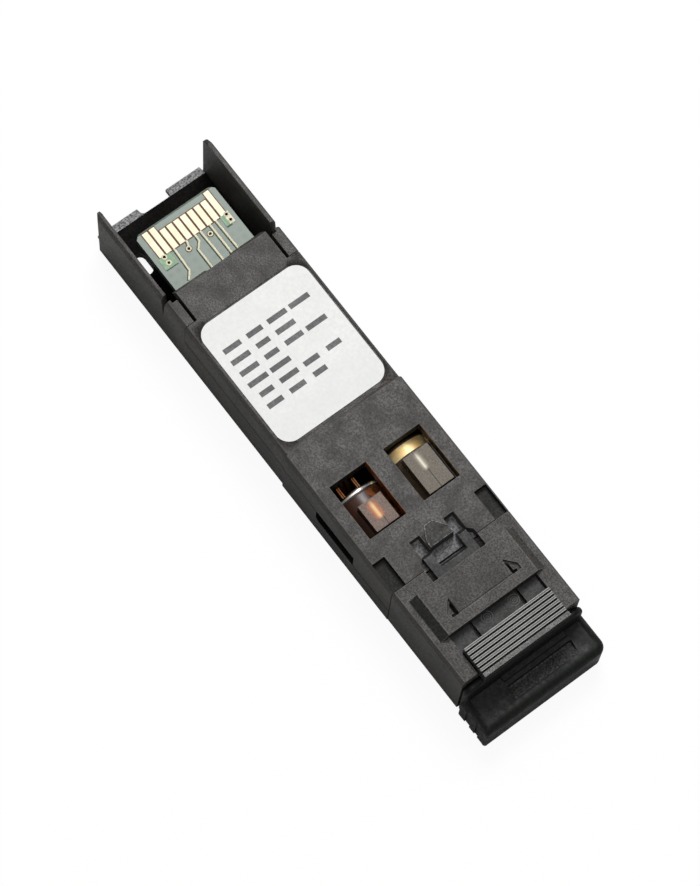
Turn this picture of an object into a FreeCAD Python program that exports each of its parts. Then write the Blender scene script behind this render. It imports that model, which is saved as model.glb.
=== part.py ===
import FreeCAD, Part
import os
import re

import Sketcher

# A small pluggable optical transceiver for a network cage, lying label side up.
# Everything is drawn in millimetres from the rear edge of the tray: x runs to
# the front where the fibre plugs go in, y runs across, z runs up to the label.
# Each piece is then moved back by half the overall length, so that the origin
# lies under the middle of the module with its dust plug.

TOLERANCE = 1e-4

SIZES = (
    # The housing as a whole
    ("body_width", 13.4, "width of the section that slides into a cage"),
    ("front_width", 13.7, "width from the step to the front end"),
    ("body_height", 8.5, "height of the rear section"),
    ("front_rise", 0.1, "how much taller the section ahead of the step is"),
    ("wall", 0.6, "thickness of the side walls of the rear section"),
    ("floor", 1.1, "thickness of the tray's floor"),
    ("roof", 1.4, "thickness of the cover's plate"),
    ("edge_inset", 0.3, "chamfer of the long upper edges, across"),
    ("edge_drop", 0.55, "chamfer of the long upper edges, downwards"),
    ("seam_gap", 0.04, "open line between the housing pieces"),
    # Stations along the length
    ("skirt_x", 0.6, "rear end of the tray's side walls"),
    ("cover_x", 11.75, "rear end of the cover's upper face"),
    ("tongue_length", 3.35, "length of the cover's tongue, up to its full width"),
    ("label_bay", 15.65, "from there to the step where the housing widens"),
    ("window_bay", 16.4, "from the step to the rear face of the port nose"),
    ("nose_length", 10.6, "length of the port nose"),
    # Tray
    ("skirt_round", 0.8, "rounding of the side walls' upper rear corners"),
    ("skirt_end", 0.4, "chamfer of the side walls' outer rear edges"),
    ("ramp_length", 1.05, "length of the lead-in slope on the floor's rear edge"),
    ("ramp_depth", 0.6, "depth of the lead-in slope on the floor's rear edge"),
    ("rear_notch_y", 0.3, "middle of the notch in the floor's rear edge"),
    ("rear_notch_width", 3.4, "width of the notch in the floor's rear edge"),
    ("rear_notch_depth", 1.0, "depth of the notch in the floor's rear edge"),
    ("rear_notch_round", 0.4, "rounding of that notch's inner corners"),
    ("vee_set", 0.1, "how far the tapered slit in each side wall lies behind the cover"),
    ("vee_width", 0.7, "width of the tapered slit at the wall's upper edge"),
    ("seam_drop", 3.7, "from the upper face to the seam behind the step"),
    ("front_seam_drop", 3.45, "from the upper face to the seam ahead of the step"),
    ("slot_set", 5.15, "from the step to the long slot in each side"),
    ("slot_length", 5.7, "length of the long slot in each side"),
    ("slot_drop", 5.65, "from the upper face to the lower edge of the long slot"),
    ("slot_bevel", 0.4, "cut corners of the long slot"),
    ("relief_x", 4.0, "rear end of the reliefs through the floor"),
    ("relief_length", 2.4, "length of each relief"),
    ("relief_width", 1.5, "width of each relief"),
    ("relief_set", 0.1, "how far a relief's middle lies inside the board's edge"),
    ("ledge_width", 1.1, "width of the ledges that carry the board"),
    ("block_width", 0.55, "thickening of the side walls beside the cover's tongue"),
    ("block_lift", 0.2, "room between those thicker walls and the board"),
    ("cradle_set", 4.15, "from the nose back to the cradle under the barrels"),
    ("cradle_thick", 1.2, "thickness of that cradle"),
    # Cover
    ("tongue_gap", 0.85, "open gap between the cover's tongue and the side walls"),
    ("lip_reach", 0.65, "how far the tongue's lower edge reaches back"),
    ("lip_notch_width", 2.9, "width of the notch in the tongue's lower edge"),
    ("lip_notch_depth", 0.45, "depth of the notch in the tongue's lower edge"),
    ("label_rear", 0.8, "from the cover's shoulder to the label"),
    ("label_front", 0.65, "from the label to the step"),
    ("label_side", 0.575, "from the label to the side of the housing"),
    ("label_round", 1.5, "corner radius of the label"),
    ("label_thick", 0.08, "thickness of the label"),
    ("label_recess", 0.1, "depth of the recess that takes the label"),
    ("label_margin", 0.2, "space round the label in its recess"),
    ("window_set", 4.85, "from the step to the two windows"),
    ("window_length", 6.2, "length of the windows"),
    ("window_width", 4.2, "width of the windows"),
    ("recess_length", 3.25, "length of the notches over the snap ears"),
    ("recess_width", 1.38, "width of those notches"),
    ("recess_lip", 0.25, "thin wall left outside those notches"),
    # Latch
    ("boss_set", 1.3, "from the nose back to the front face of the latch boss"),
    ("boss_length", 2.1, "length of the latch boss"),
    ("boss_width", 2.6, "width of the latch boss"),
    ("boss_rise", 0.45, "height of the latch boss over the cover"),
    ("boss_trim", 0.85, "how much the latch boss narrows at each side to the rear"),
    ("channel_wall", 0.1, "from the boss to the tine channels"),
    ("channel_width", 1.15, "width of the tine channels"),
    ("channel_length", 2.95, "length of the tine channels"),
    ("channel_depth", 1.15, "depth of the tine channels"),
    ("flare", 0.5, "widening of the channels at the nose"),
    # Nose
    ("port_pitch", 6.25, "distance between the two fibre axes"),
    ("port_width", 4.7, "width of each plug port"),
    ("port_height", 4.7, "height of each plug port"),
    ("port_depth", 8.6, "depth of each plug port"),
    ("latch_width", 3.0, "width of the latch slot under each port"),
    ("latch_depth", 1.1, "depth of the latch slot under each port"),
    ("tunnel_side", 1.8, "from the nose's side to the slider's tunnel"),
    ("tunnel_depth", 1.45, "from the upper face to the floor of the slider's tunnel"),
    ("tunnel_height", 1.0, "height of the slider's tunnel under the bridge"),
    ("bridge_set", 1.5, "from the nose's rear face to the bridge over the slider"),
    ("bridge_length", 4.85, "length of the bridge over the slider"),
    ("bridge_rise", 0.8, "height of the bridge over the nose"),
    ("bridge_slope", 0.85, "width of the slope at each side of the bridge"),
    ("bridge_side", 0.85, "from the nose's side to the bridge's slope"),
    ("eye_set", 2.0, "from the bridge's rear edge to the tip of its openings"),
    ("eye_length", 1.75, "length of those openings"),
    ("eye_width", 1.0, "width of those openings"),
    ("eye_depth", 0.35, "depth of the step inside those openings"),
    ("eye_slit", 0.34, "width of the slit that goes through at the step's edge"),
    ("eye_y", 3.6, "middle of those openings, from the centre line"),
    ("score_width", 0.12, "width of the line scored across the bridge"),
    ("score_depth", 0.1, "depth of the line scored across the bridge"),
    ("ear_length", 2.8, "reach of the snap ears behind the nose"),
    ("ear_thick", 0.95, "thickness of the snap ears"),
    ("ear_height", 0.6, "height of the snap ears"),
    ("corner_cut", 0.25, "chamfer of the nose's lower edges"),
    # Release slider
    ("slide_gap", 0.1, "running clearance of the slider"),
    ("travel", 1.5, "stroke of the slider"),
    ("base_play", 0.25, "room left behind the slider's plate at the end of its stroke"),
    ("base_short", 0.2, "how far the slider's plate stays behind the nose's front"),
    ("crossbar_play", 0.2, "room left behind the crossbar at the end of the stroke"),
    ("tine_room", 0.25, "room left behind the tines at the end of the stroke"),
    ("tine_play", 0.13, "room left beside a tine"),
    ("tine_bevel", 0.35, "slope at the tip of a tine"),
    ("crossbar_bevel", 0.25, "chamfer of the crossbar's rear edge"),
    ("grip_play", 0.35, "room left behind the grip at the end of the stroke"),
    ("grip_length", 3.25, "length of the ribbed grip"),
    ("grip_rise", 1.0, "height of the grip over the nose"),
    ("rib_pitch", 0.47, "distance from rib to rib"),
    ("rib_gap", 0.2, "width of a groove between two ribs"),
    ("rib_depth", 0.35, "depth of a groove between two ribs"),
    ("rib_count", 6, "grooves across the grip"),
    ("slit_set", 2.5, "from the slider's side to the slits in its plate"),
    ("slit_width", 0.4, "width of the slits in the slider's plate"),
    # Dust plug
    ("plug_gap", 0.1, "space between the plug's flange and the nose"),
    ("plug_reach", 4.55, "how far the plug stands ahead of the nose"),
    ("flange_thick", 0.75, "thickness of the plug's flange"),
    ("flange_low", 0.8, "lower edge of the plug's flange"),
    ("flange_drop", 1.3, "from the nose's upper face to the plug's flange"),
    ("flange_round", 1.1, "corner radius of the plug's flange"),
    ("head_low", 0.25, "underside of the plug's head"),
    ("head_step", 2.85, "from the flange's upper edge down to the plug's head"),
    ("head_round", 1.0, "corner radius of the plug's head on the detector side"),
    ("head_corner", 0.3, "corner radius of the plug's head on the laser side"),
    ("head_edge", 0.8, "rounding of the head's upper front edge"),
    ("head_over", 0.25, "how far the plug's head stands out beside the nose"),
    ("head_set", 0.45, "from the flange's rear face to the head"),
    ("head_shift", 0.13, "depth of the finger grooves in the head's laser side"),
    ("head_rib_set", 0.65, "from the flange to the first finger groove"),
    ("head_rib_gap", 0.7, "length of the first finger groove"),
    ("head_rib", 0.75, "width of the rib between the finger grooves"),
    ("head_rib_end", 0.45, "length of the second finger groove"),
    ("head_bar", 0.55, "width of the bar on the head along the flange"),
    ("head_bar_rise", 0.3, "height of the bar on the head"),
    ("grip_slot_set", 1.75, "from the flange to the middle of the groove in the head"),
    ("grip_slot_y", 0.95, "middle of the groove in the plug's head"),
    ("grip_slot_length", 7.4, "length of the groove in the plug's head"),
    ("grip_slot_width", 1.4, "width of the groove in the plug's head"),
    ("grip_slot_depth", 0.5, "depth of the groove in the plug's head"),
    ("prong_play", 0.2, "room round the plug's prongs in their ports"),
    ("prong_length", 6.0, "length of the plug's prongs"),
    ("neck_play", 0.25, "room round the barrels' necks in the prongs"),
    # Circuit board
    ("board_x", 4.1, "contact edge of the board"),
    ("board_tongue", 10.1, "length of the board's contact tongue"),
    ("board_short", 1.3, "how far the board ends behind the windows"),
    ("board_headroom", 0.85, "room between the board and the cover's plate"),
    ("board_thick", 1.0, "thickness of the board"),
    ("board_neck", 9.2, "width of the board's contact tongue"),
    ("board_gap", 0.25, "room beside the board between the walls"),
    ("board_bevel", 0.25, "bevel of the contact edge"),
    ("board_corner", 0.5, "corner cut of the contact edge"),
    ("pad_pitch", 0.8, "distance from contact to contact"),
    ("pad_width", 0.6, "width of a contact"),
    ("pad_thick", 0.04, "thickness of a contact"),
    ("pad_end", 3.25, "front end of the contacts, from the contact edge"),
    ("long_pad", 0.3, "rear end of the long contacts, from the contact edge"),
    ("short_pad", 0.95, "rear end of the short contacts, from the contact edge"),
    # Optical assemblies
    ("header_diameter", 5.6, "diameter of the metal headers"),
    ("header_room", 0.175, "room between the headers and the side walls beside them"),
    ("cap_diameter", 4.6, "diameter of the metal caps"),
    ("cap_length", 2.6, "length of the metal caps"),
    ("cap_wall", 0.25, "wall of the metal caps"),
    ("cap_flange", 0.2, "thickness of the welded flange of the metal caps"),
    ("lens_diameter", 1.6, "diameter of the glass lenses"),
    ("optic_gap", 0.05, "clearance between parts of an optical assembly"),
    ("barrel_diameter", 5.5, "diameter of the moulded barrels"),
    ("key_drop", 0.5, "how far the barrels' flat keys lie under the cover's upper face"),
    ("key_shift", 0.25, "how far the keys lie beside the barrels' axes"),
    ("key_clear", 0.25, "room between the keys and the windows' front edges"),
    ("laser_key_set", 1.4, "from the laser's header to its barrel's key"),
    ("laser_key_width", 2.6, "width of the key on the laser's barrel"),
    ("detector_key_set", 0.4, "from the detector's header to its barrel's key"),
    ("detector_key_width", 2.85, "width of the key on the detector's barrel"),
    ("neck_diameter", 3.0, "diameter of the barrels' neck"),
    ("neck_reach", 3.2, "how far the neck reaches into its port"),
    ("sleeve_diameter", 1.9, "diameter of the ceramic sleeves"),
    ("sleeve_length", 4.2, "length of the ceramic sleeves"),
    ("sleeve_slit", 0.25, "slit along the ceramic sleeves"),
    ("ferrule_bore", 1.25, "bore that takes a fibre ferrule"),
    ("laser_set", 1.55, "from the windows' rear edge to the laser header's front face"),
    ("laser_header", 0.35, "thickness of the laser's header"),
    ("detector_set", 1.35, "from the windows' rear edge to the detector header's front face"),
    ("detector_header", 1.25, "thickness of the detector's header"),
    ("lead_diameter", 0.44, "diameter of the leads"),
    ("lead_offset", 0.87, "distance of the leads from the axis, across"),
    ("lead_overlap", 1.2, "length of a lead that lies on the board"),
    ("lead_bend", 0.9, "bend radius of the formed leads"),
    ("lead_drop", 0.85, "how far the lower leads lie under the axis"),
    ("lead_inner", 0.28, "distance of the lower leads from the axis, across"),
    ("lead_straight", 0.3, "straight end of the lower leads at the header"),
    # Parts on the board
    ("chip_height", 0.9, "height of a chip over the board"),
    ("chip_set", 7.3, "from the board's front edge to the middle of its two large chips"),
    ("memory_set", 4.8, "from the board's shoulder to the middle of the identity memory"),
    ("chip_size", 3.6, "side of the driver and the amplifier"),
    ("chip_room", 0.5, "room between those two chips and the ledges beside them"),
    ("memory_length", 4.4, "length of the identity memory"),
    ("memory_width", 3.0, "width of the identity memory"),
    ("passive_length", 1.0, "length of a capacitor"),
    ("passive_width", 0.5, "width of a capacitor"),
    ("passive_height", 0.5, "height of a capacitor"),
    ("passive_pitch", 1.6, "distance from capacitor to capacitor"),
    ("passive_count", 5, "capacitors in the row"),
    ("passive_set", 8.4, "from the board's shoulder to the middle of the capacitors"),
    ("inductor_set", 2.8, "from the board's front edge to the middle of the inductors"),
    ("inductor_length", 2.0, "length of a filter inductor"),
    ("inductor_width", 1.25, "width of a filter inductor"),
    ("inductor_height", 1.0, "height of a filter inductor"),
)
SIZE_NAMES = {name for name, value, note in SIZES}

# Stations, heights and widths that follow from the sizes above
FOLLOWS = {
    "shoulder_x": "cover_x + tongue_length",
    "step_x": "shoulder_x + label_bay",
    "nose_x": "step_x + window_bay",
    "front_x": "nose_x + nose_length",
    "inside_y": "body_width/2 - wall",
    "bay_y": "port_pitch/2 + header_diameter/2 + header_room",
    "front_top": "body_height + front_rise",
    "vee_x": "cover_x - vee_set",
    "seam_z": "body_height - seam_drop",
    "front_seam_z": "body_height - front_seam_drop",
    "slot_x": "step_x + slot_set",
    "slot_z": "body_height - slot_drop",
    "relief_y": "board_neck/2 - relief_set",
    "rail_y": "inside_y - ledge_width",
    "cradle_x": "nose_x - cradle_set",
    "tongue_width": "2*(inside_y - tongue_gap)",
    "label_x": "shoulder_x + label_rear",
    "label_length": "label_bay - label_rear - label_front",
    "label_width": "body_width - 2*label_side",
    "window_x": "step_x + window_set",
    "recess_y": "front_width/2 - recess_lip - recess_width",
    "boss_x": "nose_x - boss_set",
    "channel_in": "boss_width/2 + channel_wall",
    "channel_out": "channel_in + channel_width",
    "channel_x": "nose_x - channel_length",
    "channel_z": "front_top - channel_depth",
    "port_z": "body_height/2",
    "port_rear": "front_x - port_depth",
    "tunnel_width": "front_width - 2*tunnel_side",
    "tunnel_z": "front_top - tunnel_depth",
    "bridge_x": "nose_x + bridge_set",
    "bridge_end": "bridge_x + bridge_length",
    "bridge_base": "front_width - 2*bridge_side",
    "bridge_top": "bridge_base - 2*bridge_slope",
    "eye_x": "bridge_x + eye_set",
    "base_x": "nose_x + travel + base_play",
    "base_end": "front_x - base_short",
    "crossbar_x": "boss_x + travel + crossbar_play",
    "tine_x": "channel_x + travel + tine_room",
    "tine_width": "channel_width - slide_gap - tine_play",
    "grip_x": "bridge_end + travel + grip_play",
    "slit_y": "tunnel_width/2 - slide_gap - slit_set",
    "flange_high": "front_top - flange_drop",
    "head_high": "flange_high - head_step",
    "prong_diameter": "port_width - 2*prong_play",
    "prong_bore": "neck_diameter + 2*neck_play",
    "board_shoulder": "board_x + board_tongue",
    "board_end": "window_x - board_short",
    "board_z": "body_height - roof - board_headroom - board_thick",
    "board_top": "board_z + board_thick",
    "board_width": "2*(min(inside_y; bay_y) - board_gap)",
    "laser_x": "window_x + laser_set",
    "detector_x": "window_x + detector_set",
    "neck_end": "port_rear + neck_reach",
    "chip_y": "rail_y - chip_room - chip_size/2",
    "driver_x": "board_end - chip_set",
    "amplifier_x": "board_end - chip_set",
    "memory_x": "board_shoulder + memory_set",
    "passive_x": "board_shoulder + passive_set",
    "inductor_x": "board_end - inductor_set",
}

DOC = FreeCAD.newDocument("transceiver_module")
SHEET = DOC.addObject("Spreadsheet::Sheet", "Sizes")
for row, (size_name, size_value, size_note) in enumerate(SIZES, start=1):
    SHEET.set(f"A{row}", size_name)
    SHEET.set(f"B{row}", str(size_value))
    SHEET.setAlias(f"B{row}", size_name)
    SHEET.set(f"C{row}", size_note)
DOC.recompute()


def in_sizes(text):
    """The expression with everything that follows from the sizes written out in them."""
    def write_out(match):
        word = match.group()
        return f"({in_sizes(FOLLOWS[word])})" if word in FOLLOWS else word
    return re.sub(r"[a-z_]+", write_out, text)


def tied(text):
    """Expression text whose size names point at the sheet."""
    def point(match):
        word = match.group()
        return f"Sizes.{word}" if word in SIZE_NAMES else word
    return re.sub(r"[a-z_]+", point, in_sizes(text))


def number(text):
    """Present value of an expression."""
    return float(SHEET.evalExpression(in_sizes(text)))


def new_body(label, y="0", z="0"):
    """Body whose own x starts at the tray's rear edge and whose axis lies at y and z."""
    body = DOC.addObject("PartDesign::Body", label)
    body.Label = label
    body.setExpression("Placement.Base.x", tied("-(front_x + plug_reach)/2"))
    body.setExpression("Placement.Base.y", tied(y))
    body.setExpression("Placement.Base.z", tied(z))
    return body


def datum(body, role):
    """One of the body's own origin planes or axes."""
    for feature in body.Origin.OriginFeatures:
        if feature.Role == role:
            return feature
    raise ValueError(role)


def new_sketch(body, plane, lift):
    """Empty sketch on an origin plane, lifted along the plane's normal."""
    sketch = body.newObject("Sketcher::SketchObject", body.Name + "_sketch")
    sketch.AttachmentSupport = (datum(body, plane), [""])
    sketch.MapMode = "FlatFace"
    sketch.setExpression("AttachmentOffset.Base.z", tied(lift))
    return sketch


def pin_point(sketch, geometry, position, place):
    """Tie one point of a sketch to two expressions, measured from the sketch's origin."""
    for kind, text in zip(("DistanceX", "DistanceY"), place):
        rule = Sketcher.Constraint(kind, -1, 1, geometry, position, number(text))
        index = sketch.addConstraint(rule)
        sketch.setExpression(f"Constraints[{index}]", tied(text))


def outline(body, plane, corners, lift="0"):
    """Closed straight-sided outline, every corner tied to the sheet."""
    sketch = new_sketch(body, plane, lift)
    points = [FreeCAD.Vector(number(u), number(v), 0) for u, v in corners]
    count = len(points)
    for index in range(count):
        sketch.addGeometry(Part.LineSegment(points[index], points[(index + 1) % count]))
    for index in range(count):
        sketch.addConstraint(Sketcher.Constraint("Coincident", index, 2, (index + 1) % count, 1))
    for index, place in enumerate(corners):
        pin_point(sketch, index, 1, place)
    return sketch


def disc(body, plane, centre, diameter, lift="0"):
    """Circle tied to the sheet."""
    sketch = new_sketch(body, plane, lift)
    middle = FreeCAD.Vector(number(centre[0]), number(centre[1]), 0)
    sketch.addGeometry(Part.Circle(middle, FreeCAD.Vector(0, 0, 1), number(diameter) / 2))
    pin_point(sketch, 0, 3, centre)
    index = sketch.addConstraint(Sketcher.Constraint("Diameter", 0, number(diameter)))
    sketch.setExpression(f"Constraints[{index}]", tied(diameter))
    return sketch


def lift_for(plane, start, end):
    """Height of a sketch whose feature runs from start to end; XZ looks along -y."""
    return f"-({end})" if plane == "XZ_Plane" else start


def run_feature(body, kind, sketch, start, end):
    """Pad or pocket along the sketch's normal, from start to end."""
    feature = body.newObject(f"PartDesign::{kind}", f"{body.Name}_{kind.lower()}")
    feature.Profile = sketch
    feature.Reversed = kind == "Pocket"
    feature.setExpression("Length", tied(f"({end}) - ({start})"))
    return feature


def prism(body, plane, corners, start, end):
    """Material with a straight-sided section between two stations."""
    sketch = outline(body, plane, corners, lift_for(plane, start, end))
    return run_feature(body, "Pad", sketch, start, end)


def cut(body, plane, corners, start, end):
    """Opening with a straight-sided section between two stations."""
    sketch = outline(body, plane, corners, lift_for(plane, start, end))
    return run_feature(body, "Pocket", sketch, start, end)


def rod(body, plane, centre, diameter, start, end):
    """Round material between two stations."""
    sketch = disc(body, plane, centre, diameter, lift_for(plane, start, end))
    return run_feature(body, "Pad", sketch, start, end)


def bore(body, plane, centre, diameter, start, end):
    """Round opening between two stations."""
    sketch = disc(body, plane, centre, diameter, lift_for(plane, start, end))
    return run_feature(body, "Pocket", sketch, start, end)


def turned(body, corners):
    """Piece turned about its own x axis from a profile of stations and radii."""
    feature = body.newObject("PartDesign::Revolution", body.Name + "_turned")
    feature.Profile = outline(body, "XY_Plane", corners)
    feature.ReferenceAxis = (datum(body, "X_Axis"), [""])
    feature.Angle = 360
    return feature


def elbow(body, station, height, centre, angle):
    """Bend of a lead about an axis that runs across at a station and height."""
    sketch = disc(body, "YZ_Plane", centre, "lead_diameter", station)
    sketch.setExpression("AttachmentOffset.Base.y", tied(height))
    feature = body.newObject("PartDesign::Revolution", body.Name + "_elbow")
    feature.Profile = sketch
    feature.ReferenceAxis = (sketch, ["H_Axis"])
    feature.setExpression("Angle", tied(angle))
    return feature


def mirrored(body, originals, plane="XZ_Plane"):
    """The same features again on the other side of an origin plane."""
    feature = body.newObject("PartDesign::Mirrored", body.Name + "_mirrored")
    feature.Originals = originals
    feature.MirrorPlane = (datum(body, plane), [""])
    body.Tip = feature
    return feature


def row_of(body, originals, axis, length, count):
    """The same features repeated evenly along an origin axis."""
    feature = body.newObject("PartDesign::LinearPattern", body.Name + "_row")
    feature.Originals = originals
    feature.Direction = (datum(body, axis), [""])
    feature.setExpression("Length", tied(length))
    feature.setExpression("Occurrences", tied(count))
    body.Tip = feature
    return feature


def edges_along(feature, axis, places):
    """Names of the straight edges parallel to an axis that pass through the places."""
    DOC.recompute()
    across = [index for index in range(3) if index != "xyz".index(axis)]
    wanted = [(number(u), number(v)) for u, v in places]
    names = []
    for position, edge in enumerate(feature.Shape.Edges, start=1):
        ends = [vertex.Point for vertex in edge.Vertexes]
        if len(ends) != 2:
            continue
        if any(abs(ends[0][index] - ends[1][index]) > TOLERANCE for index in across):
            continue
        spot = [ends[0][index] for index in across]
        if any(abs(spot[0] - u) < TOLERANCE and abs(spot[1] - v) < TOLERANCE for u, v in wanted):
            names.append(f"Edge{position}")
    if not names:
        raise ValueError(f"no edge of {feature.Name} along {axis}")
    return names


def rounded(body, axis, places, radius):
    """Rounds edges of the body's present solid."""
    base = body.Tip
    names = edges_along(base, axis, places)
    feature = body.newObject("PartDesign::Fillet", body.Name + "_rounded")
    feature.Base = (base, names)
    feature.setExpression("Radius", tied(radius))
    return feature


def bevelled(body, axis, places, size):
    """Chamfers edges of the body's present solid at 45 degrees."""
    base = body.Tip
    names = edges_along(base, axis, places)
    feature = body.newObject("PartDesign::Chamfer", body.Name + "_bevelled")
    feature.Base = (base, names)
    feature.setExpression("Size", tied(size))
    return feature


def box_corners(u_low, u_high, v_low, v_high):
    """Corners of a rectangle."""
    return [(u_low, v_low), (u_high, v_low), (u_high, v_high), (u_low, v_high)]


def edge_wedge(width, height, side):
    """Triangle that a long upper edge loses to its chamfer."""
    outer = f"{side}({width}/2)"
    inner = f"{side}({width}/2 - edge_inset)"
    return [(outer, f"{height} - edge_drop"), (outer, height), (inner, height)]


def make_tray():
    """Lower shell with the connector skirt, board ledges and barrel cradle."""
    body = new_body("shell_tray")
    half = "body_width/2"
    wide = "front_width/2"
    low = "rear_notch_y - rear_notch_width/2"
    high = "rear_notch_y + rear_notch_width/2"
    prism(body, "XY_Plane", [
        ("0", "-inside_y"), ("skirt_x", "-inside_y"), ("skirt_x", f"-{half}"),
        ("step_x", f"-{half}"), ("step_x", f"-{wide}"), ("nose_x", f"-{wide}"),
        ("nose_x", wide), ("step_x", wide), ("step_x", half), ("skirt_x", half),
        ("skirt_x", "inside_y"), ("0", "inside_y"), ("0", high), ("rear_notch_depth", high),
        ("rear_notch_depth", low), ("0", low),
    ], "0", "floor")
    cut(body, "XZ_Plane", [("0", "floor - ramp_depth"), ("0", "floor"), ("ramp_length", "floor")],
        "-inside_y", "inside_y")
    rear_wall = prism(body, "XZ_Plane", [
        ("skirt_x", "0"), ("skirt_x", "body_height"), ("vee_x - vee_width/2", "body_height"),
        ("vee_x", "seam_z"), ("vee_x + vee_width/2", "body_height"),
        ("shoulder_x - seam_gap", "body_height"), ("shoulder_x - seam_gap", "seam_z"),
        ("step_x", "seam_z"), ("step_x", "0"),
    ], "inside_y", half)
    front_wall = prism(body, "XZ_Plane", [
        ("step_x", "0"), ("step_x", "front_seam_z"), ("slot_x", "front_seam_z"),
        ("slot_x", "slot_z + slot_bevel"), ("slot_x + slot_bevel", "slot_z"),
        ("nose_x", "slot_z"), ("nose_x", "0"),
    ], "bay_y", wide)
    ledge = prism(body, "YZ_Plane", box_corners("rail_y", "inside_y", "floor", "board_z"),
                  "board_shoulder", "board_end")
    relief = cut(body, "XY_Plane", box_corners(
        "relief_x", "relief_x + relief_length",
        "relief_y - relief_width/2", "relief_y + relief_width/2"), "0", "floor")
    chamfer = cut(body, "YZ_Plane", edge_wedge("body_width", "body_height", "+"), "0", "shoulder_x")
    tip = cut(body, "XY_Plane", [
        ("skirt_x", half), ("skirt_x", f"{half} - skirt_end"), ("skirt_x + 1.5*skirt_end", half),
    ], "0", "body_height")
    block = prism(body, "XY_Plane", box_corners(
        "vee_x + vee_width", "shoulder_x - seam_gap", "inside_y - block_width", "inside_y"),
        "board_top + block_lift", "body_height")
    mirrored(body, [rear_wall, front_wall, ledge, relief, chamfer, tip, block])
    prism(body, "YZ_Plane", box_corners("-bay_y", "bay_y", "floor", "port_z"),
          "cradle_x", "cradle_x + cradle_thick")
    seat = bore(body, "YZ_Plane", ("port_pitch/2", "port_z"), "barrel_diameter + 2*optic_gap",
                "cradle_x", "cradle_x + cradle_thick")
    mirrored(body, [seat])
    ends = [f"{side}(relief_y {edge} relief_width/2)" for side in "+-" for edge in "+-"]
    places = [(x, y) for x in ("relief_x", "relief_x + relief_length") for y in ends]
    rounded(body, "z", places, "0.4*relief_width")
    rounded(body, "z", [("rear_notch_depth", low), ("rear_notch_depth", high)], "rear_notch_round")
    rounded(body, "y", [("skirt_x", "body_height")], "skirt_round")
    return body


def make_cover():
    """Upper shell with label recess, windows, latch boss and tine channels."""
    body = new_body("label_side_cover")
    half = "body_width/2"
    wide = "front_width/2"
    inner_top = "body_height - roof"
    prism(body, "XY_Plane", box_corners("shoulder_x", "step_x", f"-{half}", half),
          inner_top, "body_height")
    prism(body, "XZ_Plane", [
        ("cover_x - lip_reach", inner_top), ("shoulder_x", inner_top),
        ("shoulder_x", "body_height"), ("cover_x", "body_height"),
    ], "-tongue_width/2", "tongue_width/2")
    prism(body, "XY_Plane", box_corners("step_x", "nose_x", f"-{wide}", wide),
          inner_top, "front_top")
    rear_skirt = prism(body, "XZ_Plane", box_corners(
        "shoulder_x", "step_x", "seam_z + seam_gap", "body_height - roof/2"), "inside_y", half)
    front_skirt = prism(body, "XZ_Plane", [
        ("step_x", "front_seam_z + seam_gap"), ("slot_x + slot_length", "front_seam_z + seam_gap"),
        ("slot_x + slot_length", "slot_z + seam_gap"), ("nose_x", "slot_z + seam_gap"),
        ("nose_x", "body_height - roof/2"), ("step_x", "body_height - roof/2"),
    ], "bay_y", wide)
    window = cut(body, "XY_Plane", box_corners(
        "window_x", "window_x + window_length",
        "port_pitch/2 - window_width/2", "port_pitch/2 + window_width/2"), inner_top, "front_top")
    notch = cut(body, "XY_Plane", box_corners(
        "nose_x - recess_length", "nose_x", "recess_y", f"{wide} - recess_lip"),
        inner_top, "front_top")
    channel = cut(body, "XY_Plane", [
        ("channel_x", "channel_in"), ("boss_x", "channel_in"), ("boss_x", "0"), ("nose_x", "0"),
        ("nose_x", "channel_out + flare"), ("nose_x - flare", "channel_out + flare"),
        ("nose_x - 2*flare", "channel_out"), ("channel_x", "channel_out"),
    ], "channel_z", "front_top")
    rear_chamfer = cut(body, "YZ_Plane", edge_wedge("body_width", "body_height", "+"),
                       "shoulder_x", "step_x")
    front_chamfer = cut(body, "YZ_Plane", edge_wedge("front_width", "front_top", "+"),
                        "step_x", "nose_x")
    mirrored(body, [rear_skirt, front_skirt, window, notch, channel, rear_chamfer, front_chamfer])
    margin = "label_margin"
    across = f"label_width/2 + {margin}"
    cut(body, "XY_Plane", box_corners(
        f"label_x - {margin}", f"label_x + label_length + {margin}", f"-({across})", across),
        "body_height - label_recess", "body_height")
    cut(body, "XY_Plane", box_corners(
        "cover_x - lip_reach", "cover_x - lip_reach + lip_notch_depth",
        "-lip_notch_width/2", "lip_notch_width/2"), inner_top, "body_height")
    prism(body, "XZ_Plane", [
        ("boss_x - boss_length", "front_top"), ("boss_x - boss_length", inner_top),
        ("boss_x", inner_top), ("boss_x", "front_top + boss_rise"),
        ("boss_x - boss_length/3", "front_top + boss_rise"),
    ], "-boss_width/2", "boss_width/2")
    trim = cut(body, "XY_Plane", [
        ("boss_x - boss_length", "boss_width/2"), ("boss_x - boss_length", "boss_width/2 - boss_trim"),
        ("boss_x - boss_length/3", "boss_width/2"),
    ], "front_top", "front_top + boss_rise")
    mirrored(body, [trim])
    corners = [(x, f"{side}({across})") for side in "+-"
               for x in (f"label_x - {margin}", f"label_x + label_length + {margin}")]
    rounded(body, "z", corners, f"label_round + {margin}")
    return body


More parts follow.
